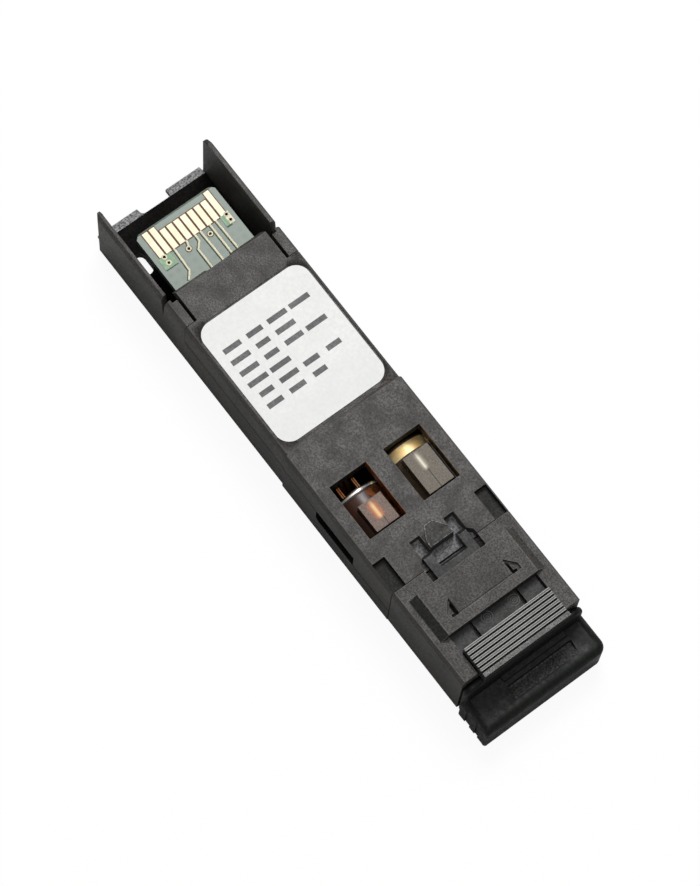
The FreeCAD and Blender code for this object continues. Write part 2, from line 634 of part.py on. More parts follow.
def make_nose():
    """Front housing with two plug ports, the slider's tunnel and the bridge over it."""
    body = new_body("port_nose")
    wide = "front_width/2"
    low = "corner_cut"
    prism(body, "YZ_Plane", [
        (f"-{wide} + {low}", "0"), (f"{wide} - {low}", "0"), (wide, low),
        (wide, "front_top - edge_drop"), (f"{wide} - edge_inset", "front_top"),
        (f"-{wide} + edge_inset", "front_top"), (f"-{wide}", "front_top - edge_drop"),
        (f"-{wide}", low),
    ], "nose_x + seam_gap", "front_x")
    prism(body, "YZ_Plane", [
        ("-bridge_base/2", "front_top"), ("bridge_base/2", "front_top"),
        ("bridge_top/2", "front_top + bridge_rise"),
        ("-bridge_top/2", "front_top + bridge_rise"),
    ], "bridge_x", "bridge_end")
    ear = prism(body, "XZ_Plane", box_corners(
        "nose_x - ear_length", "nose_x + seam_gap",
        "body_height - roof - seam_gap - ear_height", "body_height - roof - seam_gap"),
        "bay_y - seam_gap - ear_thick", "bay_y - seam_gap")
    port = cut(body, "YZ_Plane", box_corners(
        "port_pitch/2 - port_width/2", "port_pitch/2 + port_width/2",
        "port_z - port_height/2", "port_z + port_height/2"), "port_rear", "front_x")
    latch = cut(body, "YZ_Plane", box_corners(
        "port_pitch/2 - latch_width/2", "port_pitch/2 + latch_width/2",
        "port_z - port_height/2 - latch_depth", "port_z"), "port_rear", "front_x")
    neck = bore(body, "YZ_Plane", ("port_pitch/2", "port_z"), "neck_diameter + 2*optic_gap",
                "nose_x + seam_gap", "port_rear")
    eye_in = "(eye_y - eye_width/2)"
    eye_out = "(eye_y + eye_width/2)"
    eye_end = "(eye_x + eye_length)"
    eye = cut(body, "XY_Plane", [
        ("eye_x", eye_in), (eye_end, eye_in), (eye_end, eye_out),
        ("eye_x + 0.65*eye_length", eye_out),
    ], "front_top + bridge_rise - eye_depth", "front_top + bridge_rise")
    slit = cut(body, "XY_Plane", [
        ("eye_x + eye_slit", eye_in), (eye_end, eye_in), (eye_end, f"{eye_out} - eye_slit"),
        (f"{eye_end} - eye_slit", f"{eye_out} - eye_slit"),
        (f"{eye_end} - eye_slit", f"{eye_in} + eye_slit"), ("eye_x + 2*eye_slit", f"{eye_in} + eye_slit"),
    ], "tunnel_z + tunnel_height", "front_top + bridge_rise - eye_depth")
    mirrored(body, [ear, port, latch, neck, eye, slit])
    tunnel_top = "tunnel_z + tunnel_height"
    cut(body, "YZ_Plane", box_corners("-tunnel_width/2", "tunnel_width/2", "tunnel_z", tunnel_top),
        "nose_x + seam_gap", "front_x")
    cut(body, "YZ_Plane", box_corners("-tunnel_width/2", "tunnel_width/2", "tunnel_z", "front_top"),
        "bridge_end", "front_x")
    cut(body, "YZ_Plane", box_corners(
        "-(channel_out + flare)", "channel_out + flare", "tunnel_z", "front_top"),
        "nose_x + seam_gap", "bridge_x")
    cut(body, "XY_Plane", box_corners(
        f"{eye_end} - score_width", eye_end, f"-{eye_in}", eye_in),
        "front_top + bridge_rise - score_depth", "front_top + bridge_rise")
    return body


def make_slider():
    """Sliding release with two tines at the rear and a ribbed grip at the front."""
    body = new_body("release_slider")
    side = "(tunnel_width/2 - slide_gap)"
    low = "(tunnel_z + slide_gap)"
    high = "(tunnel_z + tunnel_height - slide_gap)"
    top = "(front_top - slide_gap)"
    grip_top = "(front_top + grip_rise)"
    prism(body, "XY_Plane", box_corners("base_x", "base_end", f"-{side}", side), low, high)
    bar = "(channel_out - slide_gap)"
    prism(body, "XY_Plane", box_corners("crossbar_x", "bridge_x + travel", f"-{bar}", bar),
          "channel_z + slide_gap", high)
    prism(body, "XY_Plane", box_corners("crossbar_x", "bridge_x - slide_gap", f"-{bar}", bar),
          "channel_z + slide_gap", top)
    bevelled(body, "y", [("crossbar_x", top)], "crossbar_bevel")
    tine = prism(body, "XZ_Plane", [
        ("tine_x", "channel_z + slide_gap"), ("bridge_x - slide_gap", "channel_z + slide_gap"),
        ("bridge_x - slide_gap", top), ("tine_x + tine_bevel", top),
        ("tine_x", f"{top} - tine_bevel"),
    ], f"{bar} - tine_width", bar)
    slit = cut(body, "XY_Plane", box_corners(
        "bridge_end - travel", "grip_x", "slit_y", "slit_y + slit_width"), low, high)
    mirrored(body, [tine, slit])
    prism(body, "XZ_Plane", box_corners("grip_x", "grip_x + grip_length", high, grip_top),
          f"-{side}", side)
    groove = cut(body, "XZ_Plane", box_corners(
        "grip_x + rib_pitch - rib_gap", "grip_x + rib_pitch", f"{grip_top} - rib_depth", grip_top),
        f"-{side}", side)
    row_of(body, [groove], "X_Axis", "rib_pitch*(rib_count - 1)", "rib_count")
    return body


def make_plug():
    """Dust plug with a flange, a low pull head and two hollow prongs."""
    body = new_body("dust_plug")
    half = "front_width/2"
    start = "(front_x + plug_gap)"
    face = f"({start} + flange_thick)"
    end = "(front_x + plug_reach)"
    prism(body, "YZ_Plane", box_corners(f"-{half}", half, "flange_low", "flange_high"), start, face)
    rounded(body, "x", [(f"{side}{half}", "flange_high") for side in "+-"], "flange_round")
    rounded(body, "y", [(start, "flange_high"), (face, "flange_high")], "0.45*flange_thick")
    side = "(front_width/2 + head_over)"
    prism(body, "XY_Plane", box_corners(f"({start} + head_set)", end, f"-{side}", side),
          "head_low", "head_high")
    rounded(body, "z", [(end, f"+{side}")], "head_round")
    rounded(body, "z", [(end, f"-{side}")], "head_corner")
    rounded(body, "y", [(end, "head_high")], "head_edge")
    first = f"({face} + head_rib_set)"
    second = f"({first} + head_rib_gap + head_rib)"
    for rear, length in ((first, "head_rib_gap"), (second, "head_rib_end")):
        cut(body, "XY_Plane", box_corners(rear, f"{rear} + {length}", f"-{side}", f"-{side} + head_shift"),
            "head_low", "head_high")
    low = "grip_slot_y - grip_slot_length/2"
    high = "grip_slot_y + grip_slot_length/2"
    prism(body, "XY_Plane", box_corners(face, f"{face} + head_bar", low, high),
          "head_high", "head_high + head_bar_rise")
    slot = f"({face} + grip_slot_set)"
    cut(body, "XZ_Plane", [
        (f"{slot} - grip_slot_width/2", "head_high"),
        (f"{slot} - grip_slot_width/2", "head_high - grip_slot_depth"),
        (f"{slot} - grip_slot_width/4", "head_high - grip_slot_depth"),
        (f"{slot} + grip_slot_width/2", "head_high"),
    ], low, high)
    prong = rod(body, "YZ_Plane", ("port_pitch/2", "port_z"), "prong_diameter",
                f"{start} - prong_length", start)
    hollow = bore(body, "YZ_Plane", ("port_pitch/2", "port_z"), "prong_bore",
                  f"{start} - prong_length", start)
    mirrored(body, [prong, hollow])
    return body


def make_label():
    """Thin label in the cover's recess."""
    body = new_body("label_sheet")
    low = "body_height - label_recess"
    prism(body, "XY_Plane", box_corners(
        "label_x", "label_x + label_length", "-label_width/2", "label_width/2"),
        low, f"{low} + label_thick")
    rounded(body, "z", [(x, f"{side}label_width/2") for side in "+-"
                        for x in ("label_x", "label_x + label_length")], "label_round")
    return body


def make_board():
    """Circuit board with a bevelled contact tongue."""
    body = new_body("circuit_board")
    neck = "board_neck/2"
    wide = "board_width/2"
    prism(body, "XY_Plane", [
        ("board_x + board_corner", f"-{neck}"), ("board_shoulder", f"-{neck}"),
        ("board_shoulder", f"-{wide}"), ("board_end", f"-{wide}"), ("board_end", wide),
        ("board_shoulder", wide), ("board_shoulder", neck), ("board_x + board_corner", neck),
        ("board_x", f"{neck} - board_corner"), ("board_x", f"-{neck} + board_corner"),
    ], "board_z", "board_top")
    bevelled(body, "y", [("board_x", "board_z"), ("board_x", "board_top")], "board_bevel")
    return body


def make_pads(label, low, long_places):
    """Ten edge contacts on one face of the board, some of them long."""
    body = new_body(label)
    high = f"{low} + pad_thick"
    for place in range(10):
        middle = f"pad_pitch*({place} - 4.5)"
        start = "long_pad" if place in long_places else "short_pad"
        prism(body, "XY_Plane", box_corners(
            f"board_x + {start}", "board_x + pad_end",
            f"{middle} - pad_width/2", f"{middle} + pad_width/2"), low, high)
    return body


def make_optics(name, side, front, thick):
    """One optical assembly: header, cap, lens, leads, barrel and sleeve on a fibre axis."""
    y = f"{side}port_pitch/2"
    rear = f"({front} - {thick})"
    header = new_body(f"{name}_header", y, "port_z")
    turned(header, box_corners(rear, front, "0", "header_diameter/2"))

    cap = new_body(f"{name}_cap", y, "port_z")
    end = f"({front} + cap_length)"
    seat = f"({front} + cap_flange)"
    turned(cap, [
        (front, "cap_diameter/2 - cap_wall"), (front, "header_diameter/2"),
        (seat, "header_diameter/2"), (seat, "cap_diameter/2"), (end, "cap_diameter/2"),
        (end, "lens_diameter/2"), (f"{end} - cap_wall", "lens_diameter/2"),
        (f"{end} - cap_wall", "cap_diameter/2 - cap_wall"),
    ])

    lens = new_body(f"{name}_lens", y, "port_z")
    turned(lens, [
        (f"{end} - cap_wall - lens_diameter/3", "0"),
        (f"{end} - cap_wall - lens_diameter/3", "lens_diameter/4"),
        (f"{end} - cap_wall", "lens_diameter/2"), (end, "lens_diameter/2"),
        (f"{end} + lens_diameter/4", "lens_diameter/4"), (f"{end} + lens_diameter/4", "0"),
    ])

    barrel = new_body(f"{name}_barrel", y, "port_z")
    pocket_end = f"({end} + lens_diameter/4 + optic_gap)"
    sleeve_x = "(neck_end - sleeve_length)"
    turned(barrel, [
        (seat, "barrel_diameter/2"), ("nose_x", "barrel_diameter/2"),
        ("nose_x", "neck_diameter/2"), ("neck_end", "neck_diameter/2"),
        ("neck_end", "sleeve_diameter/2"), (sleeve_x, "sleeve_diameter/2"),
        (sleeve_x, "ferrule_bore/2"), (pocket_end, "ferrule_bore/2"),
        (pocket_end, "cap_diameter/2 + optic_gap"), (seat, "cap_diameter/2 + optic_gap"),
    ])
    key = f"{name}_key_width/2"
    prism(barrel, "YZ_Plane", box_corners(
        f"key_shift - {key}", f"key_shift + {key}", "0.3*barrel_diameter", "front_top - key_drop - port_z"),
        f"{front} + {name}_key_set", "window_x + window_length - key_clear")
    bore(barrel, "YZ_Plane", ("0", "0"), "cap_diameter + 2*optic_gap", seat, pocket_end)

    sleeve = new_body(f"{name}_sleeve", y, "port_z")
    turned(sleeve, box_corners(sleeve_x, "neck_end", "ferrule_bore/2", "sleeve_diameter/2"))
    cut(sleeve, "YZ_Plane", box_corners(
        "-sleeve_slit/2", "sleeve_slit/2", "0", "sleeve_diameter/2"), sleeve_x, "neck_end")

    leads = new_body(f"{name}_leads", y, "port_z")
    upper = "(board_z - lead_diameter/2 - port_z)"
    on_board = "(board_end - lead_overlap)"
    straight = rod(leads, "YZ_Plane", ("lead_offset", upper), "lead_diameter", on_board, rear)
    rise = f"({upper} + lead_drop)"
    low_end = f"({rear} - lead_straight)"
    high_end = f"({low_end} - 2*sqrt({rise}*lead_bend - {rise}^2/4))"
    turn = f"acos(1 - {rise}/(2*lead_bend))"
    lower = rod(leads, "YZ_Plane", ("lead_inner", "-lead_drop"), "lead_diameter", low_end, rear)
    first = elbow(leads, low_end, "lead_bend - lead_drop", ("lead_inner", "-lead_bend"), turn)
    second = elbow(leads, high_end, f"{upper} - lead_bend", ("lead_inner", "lead_bend"), turn)
    landing = rod(leads, "YZ_Plane", ("lead_inner", upper), "lead_diameter", on_board, high_end)
    mirrored(leads, [straight, lower, first, second, landing])
    return [header, cap, lens, barrel, sleeve, leads]


def make_chip(label, x, y, length, width):
    """Moulded chip under the board."""
    body = new_body(label)
    prism(body, "XY_Plane", box_corners(
        f"{x} - {length}/2", f"{x} + {length}/2", f"{y} - {width}/2", f"{y} + {width}/2"),
        "board_z - chip_height", "board_z")
    return body


def make_capacitors():
    """Row of small capacitors on the board's upper face."""
    body = new_body("supply_capacitors")
    first = "-passive_pitch*(passive_count - 1)/2"
    pad = prism(body, "XY_Plane", box_corners(
        "passive_x - passive_length/2", "passive_x + passive_length/2",
        f"{first} - passive_width/2", f"{first} + passive_width/2"),
        "board_top", "board_top + passive_height")
    row_of(body, [pad], "Y_Axis", "passive_pitch*(passive_count - 1)", "passive_count")
    return body


def make_inductors():
    """Two filter inductors under the board."""
    body = new_body("filter_inductors")
    pad = prism(body, "XY_Plane", box_corners(
        "inductor_x - inductor_length/2", "inductor_x + inductor_length/2",
        "chip_y - inductor_width/2", "chip_y + inductor_width/2"),
        "board_z - inductor_height", "board_z")
    mirrored(body, [pad])
    return body


def make_all():
    """Every piece of the module."""
    pieces = [
        make_tray(), make_cover(), make_nose(), make_slider(), make_plug(), make_label(),
        make_board(),
        make_pads("contacts_label_side", "board_top", (0, 1, 9)),
        make_pads("contacts_far_side", "board_z - pad_thick", (0, 3, 6, 9)),
    ]
    pieces += make_optics("laser", "-", "laser_x", "laser_header")
    pieces += make_optics("detector", "+", "detector_x", "detector_header")
    pieces.append(make_chip("laser_driver_chip", "driver_x", "-chip_y", "chip_size", "chip_size"))
    pieces.append(make_chip("receiver_amplifier_chip", "amplifier_x", "chip_y", "chip_size", "chip_size"))
    pieces.append(make_chip("identity_memory_chip", "memory_x", "0", "memory_length", "memory_width"))
    pieces.append(make_capacitors())
    pieces.append(make_inductors())
    return pieces


def check_features(body):
    """Stops if a cut took nothing away or a solid feature added nothing."""
    for feature in body.Group:
        base = getattr(feature, "BaseFeature", None)
        if base is None or not hasattr(feature, "Profile"):
            continue
        change = feature.Shape.Volume - base.Shape.Volume
        if feature.isDerivedFrom("PartDesign::Pocket"):
            change = -change
        if change < TOLERANCE:
            raise RuntimeError(f"{feature.Name} changed nothing")


def write_all(pieces):
    """Checks every object and writes each piece to its own file."""
    DOC.recompute()
    for item in DOC.Objects:
        if "Invalid" in item.State or "Error" in item.State:
            raise RuntimeError(f"{item.Name} failed: {item.State}")
    for piece in pieces:
        if piece.Shape.isNull() or not piece.Shape.isValid():
            raise RuntimeError(f"{piece.Label} has no sound shape")
        check_features(piece)
    os.makedirs("parts", exist_ok=True)
    for piece in pieces:
        piece.Shape.exportStep(f"parts/{piece.Label}.step")
        print(piece.Label, len(piece.Shape.Solids), round(piece.Shape.Volume, 2))


write_all(make_all())
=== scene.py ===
"""Looks of a small pluggable optical transceiver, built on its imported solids.

In the row frame x runs to the fibre ports, y across and z up to the label side.
Sizes of the module are in millimetres, with x counted from the rear edge of the
tray as in the part's source. The studio's are in metres.
"""
import logging
import math
from dataclasses import dataclass, replace
from enum import Enum
from typing import Any, Optional, Sequence

import bmesh
import bpy
from mathutils import Matrix, Vector


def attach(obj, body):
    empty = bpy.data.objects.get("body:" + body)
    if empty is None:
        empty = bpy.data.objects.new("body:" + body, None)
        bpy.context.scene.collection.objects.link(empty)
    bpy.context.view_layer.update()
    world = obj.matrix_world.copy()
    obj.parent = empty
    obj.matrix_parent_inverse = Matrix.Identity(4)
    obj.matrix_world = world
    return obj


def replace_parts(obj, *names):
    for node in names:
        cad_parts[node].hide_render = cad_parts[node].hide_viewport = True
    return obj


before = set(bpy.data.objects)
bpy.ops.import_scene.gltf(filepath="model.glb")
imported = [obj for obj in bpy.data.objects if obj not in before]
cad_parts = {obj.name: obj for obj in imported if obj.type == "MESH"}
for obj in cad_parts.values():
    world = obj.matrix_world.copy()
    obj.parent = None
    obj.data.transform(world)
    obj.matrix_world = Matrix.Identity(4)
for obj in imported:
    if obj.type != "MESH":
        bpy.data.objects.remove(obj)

LOG = logging.getLogger("transceiver_looks")
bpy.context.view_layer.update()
MM = 0.001
REAR_EDGE = -31.15
IMAGE_HEIGHT = 886

Triple = tuple[float, float, float]
UPWARD: Triple = (0.0, 0.0, 1.0)
TO_LASER_SIDE: Triple = (0.0, -1.0, 0.0)

# Distance round a plane in which the middles of its faces are looked for.
NEAR = 0.1
# Cosine above which a face counts as looking in a given direction.
ALIKE = 0.7
# Distance in metres under which points of a solid are merged.
MERGE = 1e-6
# Angles under which faces are one, over which edges are broken or shaded sharp, and
# under which a corner is too acute for a broken edge.
FLAT_ANGLE, BREAK_ANGLE, SHADE_ANGLE, ACUTE_ANGLE = (
    math.radians(angle) for angle in (0.4, 32, 35, 25))
# Least length of an edge and least width of a face, in widths of the broken edge.
EDGE_ROOM, FACE_ROOM = 1.2, 2.2


class Side(Enum):
    """The two optical assemblies, by the side of the module they lie on."""

    LASER = -1
    DETECTOR = 1


class Edge(Enum):
    """Width of the broken edges of a dressed solid."""

    CRISP = 0.03
    SOFT = 0.06
    ROUND = 0.1


def station(x: float) -> float:
    """Place along x in the row frame from a distance to the tray's rear edge."""
    return (x + REAR_EDGE) * MM


def at(x: float, y: float, z: float) -> Vector:
    """Point in the row frame from millimetres."""
    return Vector((station(x), y * MM, z * MM))


def metres(size: Triple) -> tuple[float, ...]:
    """Size in metres from millimetres."""
    return tuple(length * MM for length in size)


def linear(code: str) -> tuple[float, float, float, float]:
    """Linear colour from an sRGB hex value.

    Args:
        code: six hex digits with a leading hash.

    Returns:
        Red, green, blue and a full alpha.
    """
    parts = [int(code[index:index + 2], 16) / 255 for index in (1, 3, 5)]
    red, green, blue = (part / 12.92 if part <= 0.04045 else ((part + 0.055) / 1.055) ** 2.4
                        for part in parts)
    return (red, green, blue, 1.0)


def add_node(tree: bpy.types.NodeTree, kind: str, inputs: Optional[dict[Any, Any]] = None,
             **settings: Any) -> Any:
    """Adds one node with its settings, its input values and its links.

    Args:
        tree: tree that takes the node.
        kind: type name of the node.
        inputs: sockets by name or position, each with its value or the output that feeds it.
        settings: properties of the node itself.

    Returns:
        The outputs of the new node.
    """
    node = tree.nodes.new(kind)
    for name, value in settings.items():
        setattr(node, name, value)
    for socket, given in (inputs or {}).items():
        if isinstance(given, bpy.types.NodeSocket):
            tree.links.new(given, node.inputs[socket])
        else:
            node.inputs[socket].default_value = given
    return node.outputs


@dataclass(frozen=True)
class Finish:
    """A surface finish; each kind says what goes into the sockets of the same shader."""

    name: str

    def material(self) -> bpy.types.Material:
        """Makes the material.

        Returns:
            The material, with what the finish says of its surface.
        """
        material = bpy.data.materials.new(self.name)
        material.use_nodes = True
        tree = material.node_tree
        tree.nodes.clear()
        place = add_node(tree, "ShaderNodeTexCoord")["Object"]
        shader = add_node(tree, "ShaderNodeBsdfPrincipled", self.surface(tree, place))
        add_node(tree, "ShaderNodeOutputMaterial", {"Surface": shader["BSDF"]})
        return material

    def surface(self, tree: bpy.types.NodeTree, place: Any) -> dict[str, Any]:
        """What goes into the shader's sockets; a plain finish leaves them as they are."""
        return {}

    def rubbed(self) -> "Finish":
        """The finish of a broken edge; it is the same unless a kind says otherwise."""
        return self


@dataclass(frozen=True)
class GrainFinish(Finish):
    """Moulded or coated surface with fine grain and soft blotches, lighter on broken edges."""

    dark: str
    light: str
    worn: str
    grain_mm: float
    blotch_mm: float = 4.0
    rough: float = 0.5
    bump_mm: float = 0.01
    shine: float = 0.5
    cloud: float = 0.4
    swirl: float = 0.0

    def surface(self, tree: bpy.types.NodeTree, place: Any) -> dict[str, Any]:
        """Specks of two tones under darker clouds; the light specks stand up and are smoother.

        Args:
            tree: tree that takes the patterns.
            place: coordinates on the object.

        Returns:
            What goes into the shader's sockets.
        """
        grain = add_node(tree, "ShaderNodeTexNoise", {
            "Vector": place, "Scale": 1 / (self.grain_mm * MM), "Detail": 3.0,
            "Roughness": 0.65})["Fac"]
        blotch = add_node(tree, "ShaderNodeTexNoise", {
            "Vector": place, "Scale": 1 / (self.blotch_mm * MM), "Detail": 4.0,
            "Distortion": self.swirl})["Fac"]
        speck = add_node(tree, "ShaderNodeMapRange", {
            "Value": grain, "From Min": 0.39, "From Max": 0.61})["Result"]
        drift = add_node(tree, "ShaderNodeMapRange", {
            "Value": blotch, "From Min": 0.4, "From Max": 0.66, "To Max": self.cloud})["Result"]
        tone = add_node(tree, "ShaderNodeMix", {
            0: speck, 6: linear(self.dark), 7: linear(self.light)}, data_type="RGBA")[2]
        clouded = add_node(tree, "ShaderNodeMix", {
            0: drift, 6: tone, 7: linear(self.dark)}, data_type="RGBA")[2]
        matt = add_node(tree, "ShaderNodeMapRange", {
            "Value": blotch, "From Min": 0.3, "From Max": 0.7, "To Min": self.rough,
            "To Max": self.rough + 0.13})["Result"]
        gleam = add_node(tree, "ShaderNodeMath", {0: speck, 1: -0.1, 2: matt},
                         operation="MULTIPLY_ADD")[0]
        relief = add_node(tree, "ShaderNodeBump", {
            "Height": grain, "Strength": 0.8, "Distance": self.bump_mm * MM})["Normal"]
        return {"Base Color": clouded, "Specular IOR Level": self.shine, "Roughness": gleam,
                "Normal": relief}

    def rubbed(self) -> Finish:
        """The same surface where handling has rubbed a broken edge lighter."""
        return replace(self, name=self.name + "_edge", dark=self.light, light=self.worn, cloud=0.5)


@dataclass(frozen=True)
class FacetFinish(Finish):
    """Frosted face of a clear barrel with a painted highlight in it, the reflection of the metal
    cap under it.

    The painted highlight lies along x between two stations, a bright core in a wider flare; a
    dark hairline at its own y goes on from its end. The hatching is drawn as coarse
    as it needs to show.
    """

    frost: str
    lines: str
    core: str
    flare: str
    hair_y: float
    light_y: float
    light_start: float
    light_end: float
    core_half: float
    flare_half: float
    flare_share: float
    fade_in: float = 0.7
    fade_out: float = 0.35
    hair: str = "#1c1512"
    hair_half: float = 0.07
    hair_share: float = 0.85
    hair_least: float = 0.25
    hair_fade: tuple[float, float] = (0.3, 0.1)
    hatch_mm: float = 0.08

    def surface(self, tree: bpy.types.NodeTree, place: Any) -> dict[str, Any]:
        """Fine hatching with the painted flare and core of the highlight, and the hairline, over
        it.

        Args:
            tree: tree that takes the patterns.
            place: coordinates on the object.

        Returns:
            What goes into the shader's sockets.
        """
        drawn = add_node(tree, "ShaderNodeMapping", {"Vector": place, "Scale": (1.0, 0.45, 1.0)})
        hatch = add_node(tree, "ShaderNodeTexNoise", {
            "Vector": drawn["Vector"], "Scale": 1 / (self.hatch_mm * MM), "Detail": 2.0})["Fac"]
        spread = add_node(tree, "ShaderNodeMapRange", {
            "Value": hatch, "From Min": 0.3, "From Max": 0.7})["Result"]
        tone = add_node(tree, "ShaderNodeMix", {
            0: spread, 6: linear(self.lines), 7: linear(self.frost)}, data_type="RGBA")[2]
        axes = add_node(tree, "ShaderNodeSeparateXYZ", {0: place})
        start, end = station(self.light_start), station(self.light_end)
        before, beyond = self.hair_fade
        ahead, behind, after = (add_node(tree, "ShaderNodeMapRange", {
            "Value": axes["X"], "From Min": first, "From Max": last, "To Min": low,
            "To Max": high})["Result"] for first, last, low, high in (
                (end - self.fade_out * MM, end, 1.0, 0.0),
                (start, start + self.fade_in * MM, 0.0, 1.0),
                (end - before * MM, end + beyond * MM, self.hair_least, 1.0)))
        lit = add_node(tree, "ShaderNodeMath", {0: ahead, 1: behind}, operation="MULTIPLY")[0]
        for color, line_y, half, share, fall, along in (
                (self.flare, self.light_y, self.flare_half, self.flare_share, "SMOOTHSTEP", lit),
                (self.core, self.light_y, self.core_half, 1.0, "SMOOTHSTEP", lit),
                (self.hair, self.hair_y, self.hair_half, self.hair_share, "LINEAR", after)):
            shift = add_node(tree, "ShaderNodeMath", {0: axes["Y"], 1: line_y * MM},
                             operation="SUBTRACT")[0]
            beside = add_node(tree, "ShaderNodeMath", {0: shift}, operation="ABSOLUTE")[0]
            across = add_node(tree, "ShaderNodeMapRange", {
                "Value": beside, "From Max": half * MM, "To Min": share, "To Max": 0.0},
                interpolation_type=fall)["Result"]
            mask = add_node(tree, "ShaderNodeMath", {0: across, 1: along}, operation="MULTIPLY")[0]
            tone = add_node(tree, "ShaderNodeMix", {0: mask, 6: tone, 7: linear(color)},
                            data_type="RGBA")[2]
        return {"Base Color": tone, "Roughness": 0.62, "Specular IOR Level": 0.3}


@dataclass(frozen=True)
class LaminateFinish(Finish):
    """Solder mask over glass cloth: the weave shows faintly through the green."""

    mask: str
    deep: str
    thread_mm: float = 0.45
    haze_mm: float = 1.4

    def surface(self, tree: bpy.types.NodeTree, place: Any) -> dict[str, Any]:
        """Two crossed sets of threads, which show where the mask is thin.

        Args:
            tree: tree that takes the patterns.
            place: coordinates on the object.

        Returns:
            What goes into the shader's sockets.
        """
        pitch = 0.5 / (self.thread_mm * MM) / math.pi
        warp, weft = (add_node(tree, "ShaderNodeTexWave", {
            "Vector": place, "Scale": pitch, "Distortion": 1.2, "Detail": 2.0},
            bands_direction=axis)["Fac"] for axis in "XY")
        weave = add_node(tree, "ShaderNodeMath", {0: warp, 1: weft}, operation="MULTIPLY")[0]
        haze = add_node(tree, "ShaderNodeTexNoise", {
            "Vector": place, "Scale": 1 / (self.haze_mm * MM), "Detail": 4.0})["Fac"]
        thin = add_node(tree, "ShaderNodeMath", {0: weave, 1: haze}, operation="MULTIPLY")[0]
        tone = add_node(tree, "ShaderNodeMix", {
            0: thin, 6: linear(self.mask), 7: linear(self.deep)}, data_type="RGBA")[2]
        relief = add_node(tree, "ShaderNodeBump", {
            "Height": weave, "Strength": 0.25, "Distance": 0.006 * MM})["Normal"]
        return {"Base Color": tone, "Roughness": 0.32, "Normal": relief}


@dataclass(frozen=True)
class PlateFinish(Finish):
    """Plated metal with fine turning marks and slight tarnish, with painted shade behind a station
    if given.
    """

    bright: str
    tarnish: str
    rough: float
    metal: float
    # The colour given behind a station is painted shade, where the header lies back in the
    # window's shadow.
    shade_tone: str = ""
    shade_end: float = 0.0
    shade_edge: float = 0.04
    mark_mm: float = 0.08
    stain_mm: float = 0.9

    def surface(self, tree: bpy.types.NodeTree, place: Any) -> dict[str, Any]:
        """Stains in the colour, painted shade behind the station, and turning marks in the gloss
        and the relief.

        Args:
            tree: tree that takes the patterns.
            place: coordinates on the object.

        Returns:
            What goes into the shader's sockets.
        """
        drawn = add_node(tree, "ShaderNodeMapping", {"Vector": place, "Scale": (1.0, 0.08, 0.08)})
        marks = add_node(tree, "ShaderNodeTexNoise", {
            "Vector": drawn["Vector"], "Scale": 1 / (self.mark_mm * MM), "Detail": 2.0})["Fac"]
        stain = add_node(tree, "ShaderNodeTexNoise", {
            "Vector": place, "Scale": 1 / (self.stain_mm * MM), "Detail": 3.0})["Fac"]
        spread = add_node(tree, "ShaderNodeMapRange", {
            "Value": stain, "From Min": 0.35, "From Max": 0.7})["Result"]
        tone = add_node(tree, "ShaderNodeMix", {
            0: spread, 6: linear(self.bright), 7: linear(self.tarnish)}, data_type="RGBA")[2]
        # Painted shade behind the station.
        if self.shade_tone:
            edge, half = station(self.shade_end), self.shade_edge * MM
            axes = add_node(tree, "ShaderNodeSeparateXYZ", {0: place})
            fore = add_node(tree, "ShaderNodeMapRange", {
                "Value": axes["X"], "From Min": edge - half, "From Max": edge + half})["Result"]
            tone = add_node(tree, "ShaderNodeMix", {0: fore, 6: linear(self.shade_tone), 7: tone},
                            data_type="RGBA")[2]
        matt = add_node(tree, "ShaderNodeMapRange", {
            "Value": marks, "To Min": self.rough - 0.08, "To Max": self.rough + 0.12})["Result"]
        relief = add_node(tree, "ShaderNodeBump", {
            "Height": marks, "Strength": 0.15, "Distance": 0.004 * MM})["Normal"]
        return {"Base Color": tone, "Metallic": self.metal, "Roughness": matt, "Normal": relief}


@dataclass(frozen=True)
class ResinFinish(Finish):
    """Clear tinted resin with faint flow lines, polished or frosted."""

    tint: str
    deep: str
    rough: float
    clear: float
    ior: float = 1.62
    flow_mm: float = 1.1

    def surface(self, tree: bpy.types.NodeTree, place: Any) -> dict[str, Any]:
        """Flow lines in the tint and in the gloss.

        Args:
            tree: tree that takes the patterns.
            place: coordinates on the object.

        Returns:
            What goes into the shader's sockets.
        """
        flow = add_node(tree, "ShaderNodeTexNoise", {
            "Vector": place, "Scale": 1 / (self.flow_mm * MM), "Detail": 3.0,
            "Distortion": 0.8})["Fac"]
        tone = add_node(tree, "ShaderNodeMix", {
            0: flow, 6: linear(self.tint), 7: linear(self.deep)}, data_type="RGBA")[2]
        matt = add_node(tree, "ShaderNodeMapRange", {
            "Value": flow, "To Min": self.rough * 0.7, "To Max": self.rough * 1.3})["Result"]
        return {"Base Color": tone, "Roughness": matt, "Transmission Weight": self.clear,
                "IOR": self.ior}


# Zinc casting under a matt black coating: charcoal with a fine grain and darker clouds.
COATED = GrainFinish("coated_zinc_casting", "#302e2d", "#5c5855", "#635f5b", 0.17, 1.8, 0.47,
                     bump_mm=0.05, shine=0.42, cloud=0.7)
# The same casting where little light gets to it, and the mouldings there: nearly black, as painted
# shade.
DEEP = GrainFinish("painted_shade_black", "#1a1918", "#2c2a28", "#33312f", 0.22, rough=0.6,
                   shine=0.25)
# Walls of the housing, drawn smooth by the die: even dark grey with hardly any grain; on the
# skirt's inner wall the same tone is painted light.
SMOOTH_AND_LIT = GrainFinish("die_drawn_coating_and_light", "#3c3a38", "#514e4b", "#514e4b", 0.2, 5.0,
                     bump_mm=0.008, shine=0.4, cloud=0.5)
# Seams, openings and the floor under the board, where no light comes back: black.
GAP = GrainFinish("unlit_gap", "#0d0c0b", "#161413", "#1c1a19", 0.3, rough=0.7, shine=0.05)
# Window wall beside the laser's barrel, warm with the light that comes through the amber.
WARM = GrainFinish("amber_lit_wall", "#3a1f10", "#a8602f", "#a8602f", 0.6, 1.2, shine=0.2,
                   cloud=0.7)
